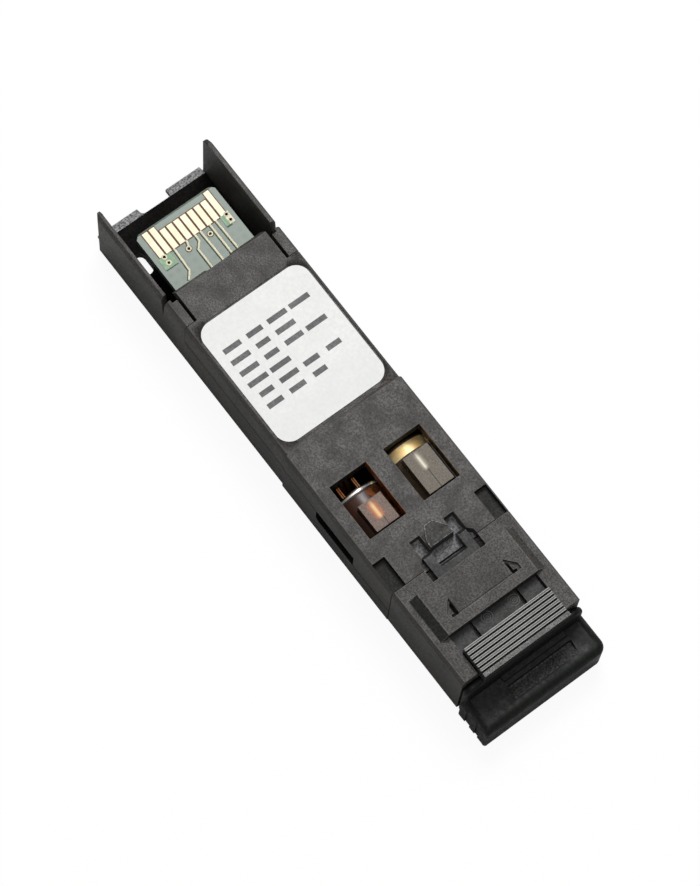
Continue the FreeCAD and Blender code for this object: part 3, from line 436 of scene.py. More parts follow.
# Window wall beside the detector's barrel, brown with the light through the smoky resin.
UMBER = GrainFinish("smoke_lit_wall", "#30251a", "#7c6244", "#7c6244", 0.6, 1.2, shine=0.2,
                    cloud=0.7)
# Lead-in slope that faces the lamp: speckled light grey as painted light.
LIT_SLOPE = GrainFinish("lead_in_painted_light", "#4a4a4a", "#b4b4b4", "#c0c0c0", 0.2, rough=0.45,
                     bump_mm=0.02)
# Cast floor between the tines, lighter as painted light, with loose grain.
GLINT = GrainFinish("cast_floor_painted_light", "#323233", "#7c7c7f", "#8a8a8a", 0.2, rough=0.42,
                    bump_mm=0.04)
# Top of the latch boss, smoothed by the cage it snaps into; the light tone on its broken edges is
# a painted highlight.
BURNISHED_AND_HIGHLIT = GrainFinish("burnished_boss_and_highlight", "#1e1c1b", "#3c3a38", "#b0aeac", 0.2, 2.0,
                        bump_mm=0.03, shine=0.3)
# Glass-filled black moulding, a little darker and more even than the casting.
MOULDED = GrainFinish("glass_filled_moulding", "#282625", "#5a5653", "#7a7673", 0.16, 3.0, 0.48,
                      bump_mm=0.05, shine=0.42, cloud=0.5)
# Unfilled satin black moulding: smoother, so ribs and edges catch the light; on the bridge's slope
# of the nose it stands in as painted shade.
SATIN_AND_SHADE = GrainFinish("satin_acetal_and_shade", "#262625", "#3c3c3b", "#7a7876", 0.22, 1.2, 0.42,
                    shine=0.27, cloud=0.7)
# Painted highlight lines along the rib edges, on the same moulding: light grey.
RIB_HIGHLIGHT = GrainFinish("rib_painted_highlight", "#b4b4b2", "#cacac8", "#cacac8", 0.2, rough=0.4)
# Tops of the ribs and the mould's round marks: the same moulding in a lighter grey.
GREYED = GrainFinish("greyed_acetal", "#5a5a58", "#6e6e6c", "#6e6e6c", 0.2, rough=0.42, shine=0.4)
# Blunt front of the grip, grained by the mould.
GRAINED = GrainFinish("grained_acetal_front", "#434342", "#8c8c8a", "#a6a4a2", 0.16, 2.5, 0.45,
                      bump_mm=0.03, cloud=0.7)
# Soft glossy elastomer of the dust plug: deep black with a trace of green and flow swirls.
SUPPLE = GrainFinish("glossy_elastomer", "#1b1e1b", "#252825", "#30342f", 0.4, 1.6, 0.42,
                     bump_mm=0.004, shine=0.17, swirl=2.5)
# Textured wall of the plug's finger groove: the same elastomer, speckled, and lighter as painted
# light on the wall that faces the lamp.
STIPPLED = GrainFinish("stippled_elastomer_painted_light", "#1a1c1a", "#4e504d", "#4e504d", 0.2, bump_mm=0.03,
                       shine=0.3)
# White polyester label film: nearly flat, with a faint paper-like tooth.
FILM = GrainFinish("polyester_label_film", "#f5f5f3", "#f8f8f6", "#fafafa", 0.3, bump_mm=0.002,
                   cloud=0.2)
# Grey ink of the bars on the film: flat and dull.
INK = GrainFinish("grey_printing_ink", "#545456", "#606062", "#7a7a7b", 0.2, bump_mm=0.001)
# Bare laminate round the contacts, where the mask stops: brown lines.
BARE = GrainFinish("bare_brown_laminate", "#5a4024", "#6e5030", "#7a5c3a", 0.2, bump_mm=0.003,
                   shine=0.15)
# Mask where it lies over copper: paler green.
PALE = GrainFinish("mask_over_copper", "#8fb08f", "#a5c4a2", "#c4dcc4", 0.3, rough=0.4,
                   bump_mm=0.002, shine=0.2)
# Painted shadow beside a raised track or patch: darker green.
SHADE = GrainFinish("mask_painted_shadow", "#43574a", "#506455", "#5c7062", 0.3, rough=0.4,
                    bump_mm=0.002, shine=0.15)
# Tinned copper under clear mask: cream.
TINNED = GrainFinish("tinned_copper_track", "#f3ebc8", "#faf3d8", "#fbf6e0", 0.3, rough=0.4,
                     bump_mm=0.002, cloud=0.2)
# Mouth of a plated hole: a dark brown dot.
MOUTH = GrainFinish("hole_mouth", "#17100a", "#22180f", "#2a2015", 0.2, rough=0.6, shine=0.1)
# Epoxy of the chips: matt black.
EPOXY = GrainFinish("chip_epoxy", "#26262a", "#34343a", "#55555a", 0.2, rough=0.55)
# Sintered capacitor body: matt tan.
TAN = GrainFinish("tan_capacitor_ceramic", "#8a6d50", "#a58766", "#b79a78", 0.2)
# Sintered ferrite: matt dark grey.
FERRITE = GrainFinish("dark_ferrite", "#3d3b3a", "#4c4a49", "#62605f", 0.2, rough=0.6)
# Ground zirconia of the split sleeves: smooth off-white.
ZIRCONIA = GrainFinish("ground_zirconia", "#e4e2da", "#efede6", "#f5f3ee", 0.2, rough=0.25,
                       bump_mm=0.002)
# Solder mask over glass cloth: grey green with a faint weave.
MASK = LaminateFinish("green_solder_mask", "#677a6c", "#4e6155")
# Gold flash over nickel on the contacts: pale and warm, softly bright.
CONTACT = PlateFinish("gold_flash_contact", "#f3e6cf", "#ebdcbe", 0.5, 0.3)
# Gold-plated steel header: deep yellow with turning marks, with brown painted shade behind its lit
# band.
HEADER = PlateFinish("gold_plated_header", "#ffe7ae", "#f6c87c", 0.42, 0.5, shade_tone="#3a2c1a",
                     shade_end=35.9)
# Gold-plated round leads: brown in the shade of the cover.
LEAD = PlateFinish("gold_plated_lead", "#5c3c22", "#3c2412", 0.3, 0.6)
# Painted highlight lines on the leads: copper-bright.
LEAD_HIGHLIGHT = PlateFinish("lead_painted_highlight", "#ffb070", "#ff8a44", 0.4, 0.1)
# Nickel plating on the laser's header: bright rim, with painted shade behind it.
NICKEL = PlateFinish("nickel_plate", "#f2eee8", "#d4cdc4", 0.26, 0.7, shade_tone="#2c2520",
                     shade_end=36.96)
# Nickel caps, coloured dark.
DARKENED_NICKEL = PlateFinish("darkened_nickel", "#4c4038", "#332a25", 0.45, 0.4)
# Amber polyetherimide of the laser's barrel: orange-brown, only partly clear.
AMBER = ResinFinish("amber_polyetherimide", "#583320", "#331c11", 0.34, 0.3)
# Polycarbonate of the detector's barrel: smoky brown, only partly clear.
SMOKE = ResinFinish("smoky_polycarbonate", "#6e5d49", "#4c4034", 0.2, 0.3)
# Ground face on the laser's barrel: rosy grey with an orange flare of light in it.
LASER_FACET = FacetFinish("ground_face_amber", "#96847b", "#6f5d55", "#ffd9a4", "#ff9650",
                          hair_y=-2.76, light_y=-2.98, light_start=38.6, light_end=40.75,
                          core_half=0.32, flare_half=0.75, flare_share=0.7)
# Ground face on the detector's barrel: neutral grey with a cream streak of light in it.
DETECTOR_FACET = FacetFinish("ground_face_smoky", "#8d857a", "#6c645a", "#fffaea", "#f4ecd0",
                             hair_y=3.33, light_y=3.26, light_start=37.4, light_end=39.5,
                             core_half=0.22, flare_half=0.5, flare_share=0.5)
# Polished lens glass: clear.
GLASS = ResinFinish("polished_lens_glass", "#f2f6f6", "#e8eeee", 0.03, 1.0, 1.5)


class FinishShelf:
    """Keeps one material of each finish."""

    def __init__(self) -> None:
        """Starts with no materials."""
        self._made: dict[str, bpy.types.Material] = {}

    def get(self, finish: Finish) -> bpy.types.Material:
        """Finds the material of a finish, and makes it when it is first asked for.

        Args:
            finish: finish that is looked up by its name.

        Returns:
            The material.
        """
        if finish.name not in self._made:
            self._made[finish.name] = finish.material()
        return self._made[finish.name]


SHELF = FinishShelf()


@dataclass(frozen=True)
class Mount:
    """The body a piece moves with, its material slot in the record and its finish."""

    body: str
    slot: str
    finish: Finish


def place_piece(name: str, mesh: bpy.types.Mesh, mount: Mount) -> bpy.types.Object:
    """Puts a finished mesh in the scene as a piece that rides on a body.

    Args:
        name: name of the piece.
        mesh: mesh with its place in its vertices.
        mount: body and slot of the piece.

    Returns:
        The new object.
    """
    piece = bpy.data.objects.new(name, mesh)
    bpy.context.scene.collection.objects.link(piece)
    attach(piece, mount.body)
    LOG.info("piece %s: %d faces on %s", name, len(mesh.polygons), mount.body)
    return piece


def coat_nodes(finish: Finish, *nodes: str) -> None:
    """Gives solids that stay as they are their finish.

    Args:
        finish: finish of all of them.
        nodes: names of the solids.
    """
    for node in nodes:
        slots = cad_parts[node].data.materials
        slots.clear()
        slots.append(SHELF.get(finish))
        LOG.info("solid %s: %s", node, finish.name)


def applied(mesh: bpy.types.Mesh, kind: str, settings: dict[str, Any],
            inputs: Optional[dict[str, Any]] = None) -> bpy.types.Mesh:
    """Plain copy of a mesh after one modifier.

    Args:
        mesh: mesh that the modifier starts from.
        kind: type of the modifier.
        settings: properties of the modifier.
        inputs: inputs of its tree by identifier; without them every layer of data is kept.

    Returns:
        The new mesh.
    """
    holder = bpy.data.objects.new(mesh.name + "_holder", mesh)
    bpy.context.scene.collection.objects.link(holder)
    modifier = holder.modifiers.new("shape", kind)
    for name, value in settings.items():
        setattr(modifier, name, value)
    for identifier, value in (inputs or {}).items():
        modifier[identifier] = value
    graph = bpy.context.evaluated_depsgraph_get()
    made = bpy.data.meshes.new_from_object(holder.evaluated_get(graph), depsgraph=graph,
                                           preserve_all_data_layers=inputs is None)
    holder.modifiers.remove(modifier)
    bpy.data.objects.remove(holder)
    return made


@dataclass(frozen=True)
class FacePart:
    """Faces of a solid that take a finish of their own.

    The box holds the faces' middles; facing, where given, is the direction that
    the faces look in.
    """

    finish: Finish
    low: Triple
    high: Triple
    facing: Optional[Triple] = None

    def takes(self, middle: Vector, normal: Vector) -> bool:
        """Whether a face with this middle and normal belongs to the part."""
        inside = all(a <= value <= b for a, value, b in zip(self.low, middle, self.high))
        return inside and (self.facing is None or normal.dot(Vector(self.facing)) > ALIKE)

    def pair(self) -> tuple["FacePart", "FacePart"]:
        """Adds the same faces on the other side of the module.

        Returns:
            The part and its mirror image.
        """
        (x0, y0, z0), (x1, y1, z1) = self.low, self.high
        facing = self.facing and (self.facing[0], -self.facing[1], self.facing[2])
        return self, FacePart(self.finish, (x0, -y1, z0), (x1, -y0, z1), facing)


def soft_edges(shape: bmesh.types.BMesh, width: float) -> list[bmesh.types.BMEdge]:
    """Sharp edges of a shape that have room for a broken edge of the given width.

    Args:
        shape: merged shape.
        width: width of the broken edge.

    Returns:
        The edges, without those of narrow faces and of acute corners.
    """
    sharp = {edge for edge in shape.edges
             if len(edge.link_faces) == 2 and edge.calc_face_angle(0.0) > BREAK_ANGLE}
    left = {edge for edge in sharp if edge.calc_length() < EDGE_ROOM * width}
    for face in shape.faces:
        longest = max(edge.calc_length() for edge in face.edges)
        if face.calc_area() < FACE_ROOM * width * longest:
            left.update(face.edges)
        for loop in face.loops:
            pair = {loop.edge, loop.link_loop_prev.edge}
            if pair <= sharp and loop.calc_angle() < ACUTE_ANGLE:
                left |= pair
    return [edge for edge in shape.edges if edge in sharp and edge not in left]


def dress_node(node: str, mount: Mount, edges: Edge, parts: Sequence[FacePart] = ()) -> None:
    """Replaces a solid by a copy of itself whose sharp edges are broken.

    Args:
        node: solid that is copied.
        mount: body, slot and finish of the copy.
        edges: width of the broken edges.
        parts: further finishes and the faces that take them; the last match counts.
    """
    shape = bmesh.new()
    shape.from_mesh(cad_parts[node].data)
    bmesh.ops.remove_doubles(shape, verts=shape.verts, dist=MERGE)
    bmesh.ops.dissolve_limit(shape, angle_limit=FLAT_ANGLE, verts=shape.verts, edges=shape.edges)
    for face in shape.faces:
        face.smooth = True
        middle = face.calc_center_median() / MM - Vector((REAR_EDGE, 0.0, 0.0))
        for number, part in enumerate(parts, start=1):
            if part.takes(middle, face.normal):
                face.material_index = number
    width = edges.value * MM
    broken = soft_edges(shape, width)
    bmesh.ops.triangulate(shape, faces=[face for face in shape.faces if len(face.verts) > 4])
    made = bmesh.ops.bevel(shape, geom=broken, offset=width, offset_type="OFFSET", segments=2,
                           profile=0.5, affect="EDGES", clamp_overlap=False, material=-1)
    for face in made["faces"]:
        if sum(edge.calc_face_angle_signed(0.0) for edge in face.edges) > 0:
            face.material_index += len(parts) + 1
    mesh = bpy.data.meshes.new(node + "_dressed")
    shape.to_mesh(mesh)
    shape.free()
    plain = [mount.finish, *(part.finish for part in parts)]
    for given in plain + [each.rubbed() for each in plain]:
        mesh.materials.append(SHELF.get(given))
    mesh.set_sharp_from_angle(angle=SHADE_ANGLE)
    # Large faces stay flat and the broken edges carry the rounding.
    mesh = applied(mesh, "WEIGHTED_NORMAL",
                   {"mode": "FACE_AREA", "weight": 100, "keep_sharp": True})
    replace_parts(place_piece(node + "_dressed", mesh, mount), node)


class NodeShape:
    """A geometry tree with named inputs, turned into plain meshes."""

    def __init__(self, name: str, **sockets: str) -> None:
        """Starts the tree.

        Args:
            name: name of the tree.
            sockets: its inputs besides shape and material, each with the kind of its socket.
        """
        self.tree = bpy.data.node_groups.new(name, "GeometryNodeTree")
        face = self.tree.interface
        for label, kind in {"Shape": "Geometry", **sockets, "Material": "Material"}.items():
            face.new_socket(label, in_out="INPUT", socket_type="NodeSocket" + kind)
        face.new_socket("Shape", in_out="OUTPUT", socket_type="NodeSocketGeometry")
        self.given = add_node(self.tree, "NodeGroupInput")

    def close(self, shape: Any) -> "NodeShape":
        """Ends the tree with real geometry in the asked material.

        Args:
            shape: output with the geometry.

        Returns:
            The tree itself.
        """
        real = add_node(self.tree, "GeometryNodeRealizeInstances", {"Geometry": shape})[0]
        dressed = add_node(self.tree, "GeometryNodeSetMaterial", {
            "Geometry": real, "Material": self.given["Material"]})[0]
        add_node(self.tree, "NodeGroupOutput", {0: dressed})
        return self

    def mesh(self, name: str, finish: Finish, values: dict[str, Any],
             seed: Optional[bpy.types.Mesh] = None) -> bpy.types.Mesh:
        """Runs the tree.

        Args:
            name: name of the mesh.
            finish: finish of the mesh.
            values: further inputs by name.
            seed: mesh that the tree starts from.

        Returns:
            The plain mesh.
        """
        values = {**values, "Material": SHELF.get(finish)}
        inputs = {item.identifier: values[item.name] for item in self.tree.interface.items_tree
                  if item.in_out == "INPUT" and item.name in values}
        seed = seed or bpy.data.meshes.new(name + "_seed")
        made = applied(seed, "NODES", {"node_group": self.tree}, inputs)
        made.name = name
        return made


def row_tree() -> NodeShape:
    """Tree for a straight row of slabs, whose widths can be drawn at random.

    Returns:
        The tree.
    """
    shape = NodeShape("row_of_slabs", Count="Int", Start="Vector", Step="Vector", Slab="Vector",
                      Least="Float", Seed="Int")
    tree, given = shape.tree, shape.given
    line = add_node(tree, "GeometryNodeMeshLine", {
        "Count": given["Count"], "Start Location": given["Start"], "Offset": given["Step"]})[0]
    slab = add_node(tree, "GeometryNodeMeshCube", {"Size": given["Slab"]})[0]
    share = add_node(tree, "FunctionNodeRandomValue", {
        2: given["Least"], 3: 1.0, "Seed": given["Seed"]}, data_type="FLOAT")[1]
    spread = add_node(tree, "ShaderNodeCombineXYZ", {"X": 1.0, "Y": share, "Z": 1.0})[0]
    return shape.close(add_node(tree, "GeometryNodeInstanceOnPoints", {
        "Points": line, "Instance": slab, "Scale": spread})[0])


def ring_tree() -> NodeShape:
    """Tree for a small flat ring at each point it is given.

    Returns:
        The tree.
    """
    shape = NodeShape("rings_at_points", Radius="Float", Width="Float", Height="Float")
    tree, given = shape.tree, shape.given
    circle = add_node(tree, "GeometryNodeCurvePrimitiveCircle", {
        "Resolution": 24, "Radius": given["Radius"]})[0]
    level = add_node(tree, "GeometryNodeSetCurveNormal", {0: circle}, mode="Z_UP")[0]
    section = add_node(tree, "GeometryNodeCurvePrimitiveQuadrilateral", {
        "Width": given["Width"], "Height": given["Height"]})[0]
    ring = add_node(tree, "GeometryNodeCurveToMesh", {
        "Curve": level, "Profile Curve": section})[0]
    return shape.close(add_node(tree, "GeometryNodeInstanceOnPoints", {
        "Points": given["Shape"], "Instance": ring})[0])


def ribbon_tree() -> NodeShape:
    """Tree for a flat ribbon along each path it is given.

    Returns:
        The tree.
    """
    shape = NodeShape("ribbon_on_path", Width="Float", Height="Float")
    tree, given = shape.tree, shape.given
    line = add_node(tree, "GeometryNodeMeshToCurve", {0: given["Shape"]})[0]
    path = add_node(tree, "GeometryNodeSetCurveNormal", {0: line}, mode="Z_UP")[0]
    section = add_node(tree, "GeometryNodeCurvePrimitiveQuadrilateral", {
        "Width": given["Width"], "Height": given["Height"]})[0]
    return shape.close(add_node(tree, "GeometryNodeCurveToMesh", {
        "Curve": path, "Profile Curve": section, "Fill Caps": True})[0])


def path_mesh(name: str, paths: Sequence[Sequence[Triple]]) -> bpy.types.Mesh:
    """Mesh of open lines, or of single points where a path has one point.

    Args:
        name: name of the mesh.
        paths: points of each line.

    Returns:
        The mesh.
    """
    points: list[Vector] = []
    edges: list[tuple[int, int]] = []
    for path in paths:
        start = len(points)
        points.extend(at(*point) for point in path)
        edges.extend((start + index, start + index + 1) for index in range(len(path) - 1))
    mesh = bpy.data.meshes.new(name)
    mesh.from_pydata(points, edges, [])
    return mesh


class Bench:
    """Lays the thin pieces that repeat or follow a path."""

    def __init__(self) -> None:
        """Makes the trees."""
        self.rows, self.rings, self.ribbons = row_tree(), ring_tree(), ribbon_tree()

    def lay_row(self, name: str, mount: Mount, start: Triple, slab: Triple, count: int = 1,
                step: Triple = (0.0, 0.0, 0.0), least: float = 1.0, seed: int = 0) -> None:
        """Lays a straight row of slabs as one piece.

        Args:
            name: name of the piece.
            mount: its body, slot and finish.
            start: middle of the first slab.
            slab: size of a slab.
            count: number of slabs.
            step: way from one slab to the next.
            least: smallest share of its width that a slab can be drawn.
            seed: seed of those draws.
        """
        place_piece(name, self.rows.mesh(name, mount.finish, {
            "Count": count, "Start": at(*start), "Step": metres(step), "Slab": metres(slab),
            "Least": least, "Seed": seed}), mount)

    def lay_rings(self, name: str, mount: Mount, places: Sequence[Triple], radius: float,
                  width: float, height: float) -> None:
        """Lays a flat ring at each place, all as one piece.

        Args:
            name: name of the piece.
            mount: its body, slot and finish.
            places: middles of the rings.
            radius: radius of a ring's middle line.
            width: width of a ring.
            height: height of a ring.
        """
        seed = path_mesh(name + "_points", [[place] for place in places])
        place_piece(name, self.rings.mesh(name, mount.finish, {
            "Radius": radius * MM, "Width": width * MM, "Height": height * MM}, seed), mount)

    def lay_ribbons(self, name: str, mount: Mount, paths: Sequence[Sequence[Triple]],
                    width: float, height: float) -> None:
        """Lays a flat ribbon along each path, all as one piece.

        Args:
            name: name of the piece.
            mount: its body, slot and finish.
            paths: points of each path.
            width: width of a ribbon.
            height: thickness of a ribbon.
        """
        seed = path_mesh(name + "_paths", paths)
        place_piece(name, self.ribbons.mesh(name, mount.finish, {
            "Width": width * MM, "Height": height * MM}, seed), mount)


@dataclass
class HousingShells:
    """Tray, cover and nose of the housing."""

    bench: Bench
    body: str = "housing"
    slot: str = "coated_casting"
    # Inside and outside of the shells.
    inside: float = 6.12
    floor: float = 1.1
    roof: float = 7.1
    top: float = 8.5
    rim: float = 0.05
    half_rear: float = 6.7
    half_front: float = 6.85
    side_span: tuple[float, float] = (11.0, 58.0)
    side_reach: float = 7.0
    # Rear end: lead-in slope, floor under the board and the skirt round the tongue.
    ramp: float = 1.05
    ramp_low: float = 0.4
    ramp_facing: Triple = (-0.5, 0.0, 0.866)
    floor_start: float = 0.5
    skirt_end: float = 15.1
    skirt_inside: float = 5.5
    # Side slots, by x range and z range, and windows, by x range and lit walls.
    side_slot: tuple[float, float, float, float] = (35.9, 41.6, 2.85, 5.05)
    slot_depth: tuple[float, float] = (6.0, 6.8)
    windows: tuple[float, float] = (35.6, 41.8)
    laser_wall: float = -1.0
    detector_wall: float = 5.2
    # Latch boss, with its half widths at the ridge and at the foot, and the floor beside it.
    boss: tuple[float, float] = (43.75, 45.85)
    boss_half: tuple[float, float] = (1.3, 0.45)
    boss_ramp: float = 1.4
    boss_top: float = 9.05
    boss_start: float = 0.15
    boss_line: tuple[float, float] = (0.06, 0.02)
    tine_reach: float = 2.6
    tine_floor: tuple[float, float] = (7.4, 7.5)
    # Joint to the nose, the ear pockets behind it and the bridge on it.
    step: float = 30.75
    nose: float = 47.15
    pocket_length: float = 3.3
    pocket_y: tuple[float, float] = (5.1, 6.65)
    pocket_floor: Triple = (1.63, 5.875, 7.85)
    pocket_slab: Triple = (3.22, 1.43, 0.06)
    tunnel_low: float = 6.0
    bridge_end: float = 57.0
    bridge_inside: float = 3.5
    bridge_z: tuple[float, float] = (8.3, 9.4)
    bridge_facing: Triple = (0.0, -0.9, 0.436)
    # Seams.
    seam_rear_z: float = 4.75
    seam_nose_z: tuple[float, float] = (0.3, 8.0)
    seam_line: float = 0.15
    seam_joint: float = 0.08
    seam_thin: float = 0.012

    def build(self) -> None:
        """Dresses the three housing pieces and adds painted highlight lines on the boss's edges,
        and the seams.
        """
        start, end = self.side_span
        walls = FacePart(SMOOTH_AND_LIT, (start, -self.side_reach, 0.0), (end, self.side_reach, self.top),
                         TO_LASER_SIDE).pair()
        near, _, sill, head = self.side_slot
        shallow, deep = self.slot_depth
        slots = FacePart(GAP, (near - NEAR, -deep, sill - NEAR),
                         (self.nose, -shallow, head + NEAR)).pair()
        self.dress_tray(walls + slots)
        self.dress_cover(walls + slots)
        low, high = self.bridge_z
        dress_node("port_nose", Mount(self.body, "nose_moulding", MOULDED), Edge.SOFT, (
            *walls,
            # The bridge's slope on the laser side is darker, as painted shade.
            FacePart(SATIN_AND_SHADE, (self.nose, -self.inside, low),
                     (self.bridge_end, -self.bridge_inside, high), self.bridge_facing),
            # Painted shade round the ear pockets at the nose's rear.
            FacePart(DEEP, (self.nose - self.pocket_length, -self.inside, self.tunnel_low),
                     (self.nose, self.inside, self.top))))
        self.add_boss_edges()
        self.add_seams()

    def dress_tray(self, sides: Sequence[FacePart]) -> None:
        """Dresses the tray: painted shade inside, with painted light on the skirt wall and on the
        lead-in slope.

        Args:
            sides: finishes of the outer walls and their slots.
        """
        reach, floor = self.inside, self.floor
        corner = (self.floor_start, -reach, floor - NEAR)
        dress_node("shell_tray", Mount(self.body, self.slot, COATED), Edge.SOFT, (
            *sides,
            # Painted shade inside the tray, darkest on the floor under the board.
            FacePart(DEEP, corner, (self.nose, reach, self.top - self.rim)),
            FacePart(GAP, corner, (self.nose, reach, floor + NEAR), UPWARD),
            # The skirt's inner wall takes the lighter wall finish as painted light.
            FacePart(SMOOTH_AND_LIT, (0.0, self.skirt_inside, floor),
                     (self.skirt_end, self.half_rear, self.top), TO_LASER_SIDE),
            FacePart(LIT_SLOPE, (0.0, -reach, self.ramp_low), (self.ramp, reach, floor),
                     self.ramp_facing)))

    def dress_cover(self, sides: Sequence[FacePart]) -> None:
        """Dresses the cover: painted light on the window walls, painted shade in the windows and
        pockets, the boss, and painted light on the floor beside it.

        Args:
            sides: finishes of the outer walls and their slots.
        """
        first, last = self.windows
        reach = self.detector_wall + NEAR
        lit = (FacePart(finish, (first, wall - NEAR, self.roof), (last, wall + NEAR, self.top),
                        TO_LASER_SIDE)
               for finish, wall in ((WARM, self.laser_wall), (UMBER, self.detector_wall)))
        pocket = self.nose - self.pocket_length
        shallow, deep = self.pocket_y
        rear, front = self.boss
        half = self.boss_half[0] + self.rim
        low, high = self.tine_floor
        dress_node("label_side_cover", Mount(self.body, self.slot, COATED), Edge.SOFT, (
            *sides,
            # Painted shade in the windows and the ear pockets; painted light on the window walls
            # and the floor between the tines.
            FacePart(DEEP, (first - NEAR, -reach, self.roof), (last + NEAR, reach, self.top)),
            *lit,
            *FacePart(DEEP, (pocket, -deep, self.roof - NEAR),
                      (self.nose + NEAR, -shallow, self.top)).pair(),
            FacePart(BURNISHED_AND_HIGHLIT, (rear - NEAR, -half, self.top + self.boss_start),
                     (front + NEAR, half, self.boss_top + self.rim)),
            FacePart(GLINT, (pocket, -self.tine_reach, low), (self.nose, self.tine_reach, high),
                     UPWARD)))

    def add_boss_edges(self) -> None:
        """Adds painted highlight lines along the edges of the latch boss."""
        rear, front = self.boss
        ridge, foot = self.boss_half
        low, high = self.top + NEAR, self.boss_top
        sides = [[(rear, sign * foot, low), (rear + self.boss_ramp, sign * ridge, high),
                  (front, sign * ridge, high)] for sign in (-1, 1)]
        across = [(rear, -foot, low), (rear, foot, low)]
        self.bench.lay_ribbons("boss_edges", Mount(self.body, self.slot, BURNISHED_AND_HIGHLIT.rubbed()),
                               [*sides, across], *self.boss_line)

    def add_seams(self) -> None:
        """Adds the dark seams between the shells on both sides, and the ear pockets' floors in
        painted shade.
        """
        near, far, sill, head = self.side_slot
        level, line = self.seam_rear_z, self.seam_line
        runs = (("seam_rear", (self.skirt_end, self.step), (level, level + line), self.half_rear),
                ("seam_middle", (self.step, near), (head, head + line), self.half_front),
                ("seam_front", (far, self.nose), (sill, sill + line), self.half_front),
                ("seam_nose", (self.nose, self.nose + self.seam_joint), self.seam_nose_z,
                 self.half_front))
        for name, (start, end), (low, high), half in runs:
            self.bench.lay_row(name, Mount(self.body, self.slot, GAP),
                               ((start + end) / 2, -half, (low + high) / 2),
                               (end - start, self.seam_thin, high - low), 2, (0.0, 2 * half, 0.0))
        back, middle, height = self.pocket_floor
        self.bench.lay_row("pocket_floors", Mount(self.body, self.slot, DEEP),
                           (self.nose - back, -middle, height), self.pocket_slab, 2,
                           (0.0, 2 * middle, 0.0))


@dataclass
class LabelPanel:
    """Label film with rows of plain bars of uneven length."""

    bench: Bench
    body: str = "housing"
    top: float = 8.48
    ink: float = 0.012
    first_bar: tuple[float, float] = (19.2, -4.2)
    row_step: float = 1.35
    bar_step: float = 2.6
    bar: tuple[float, float] = (0.55, 2.3)
    shortest: float = 0.6
    counts: tuple[int, ...] = (4, 3, 4, 2, 4, 3)
    first_seed: int = 11

    def build(self) -> None:
        """Coats the film and lays the bars on it."""
        coat_nodes(FILM, "label_sheet")
        x, y = self.first_bar
        for row, count in enumerate(self.counts):
            self.bench.lay_row(f"label_bars_{row}", Mount(self.body, "label_film", INK),
                               (x + row * self.row_step, y, self.top + self.ink / 2),
                               (*self.bar, self.ink), count, (0.0, self.bar_step, 0.0),
                               self.shortest, self.first_seed + row)


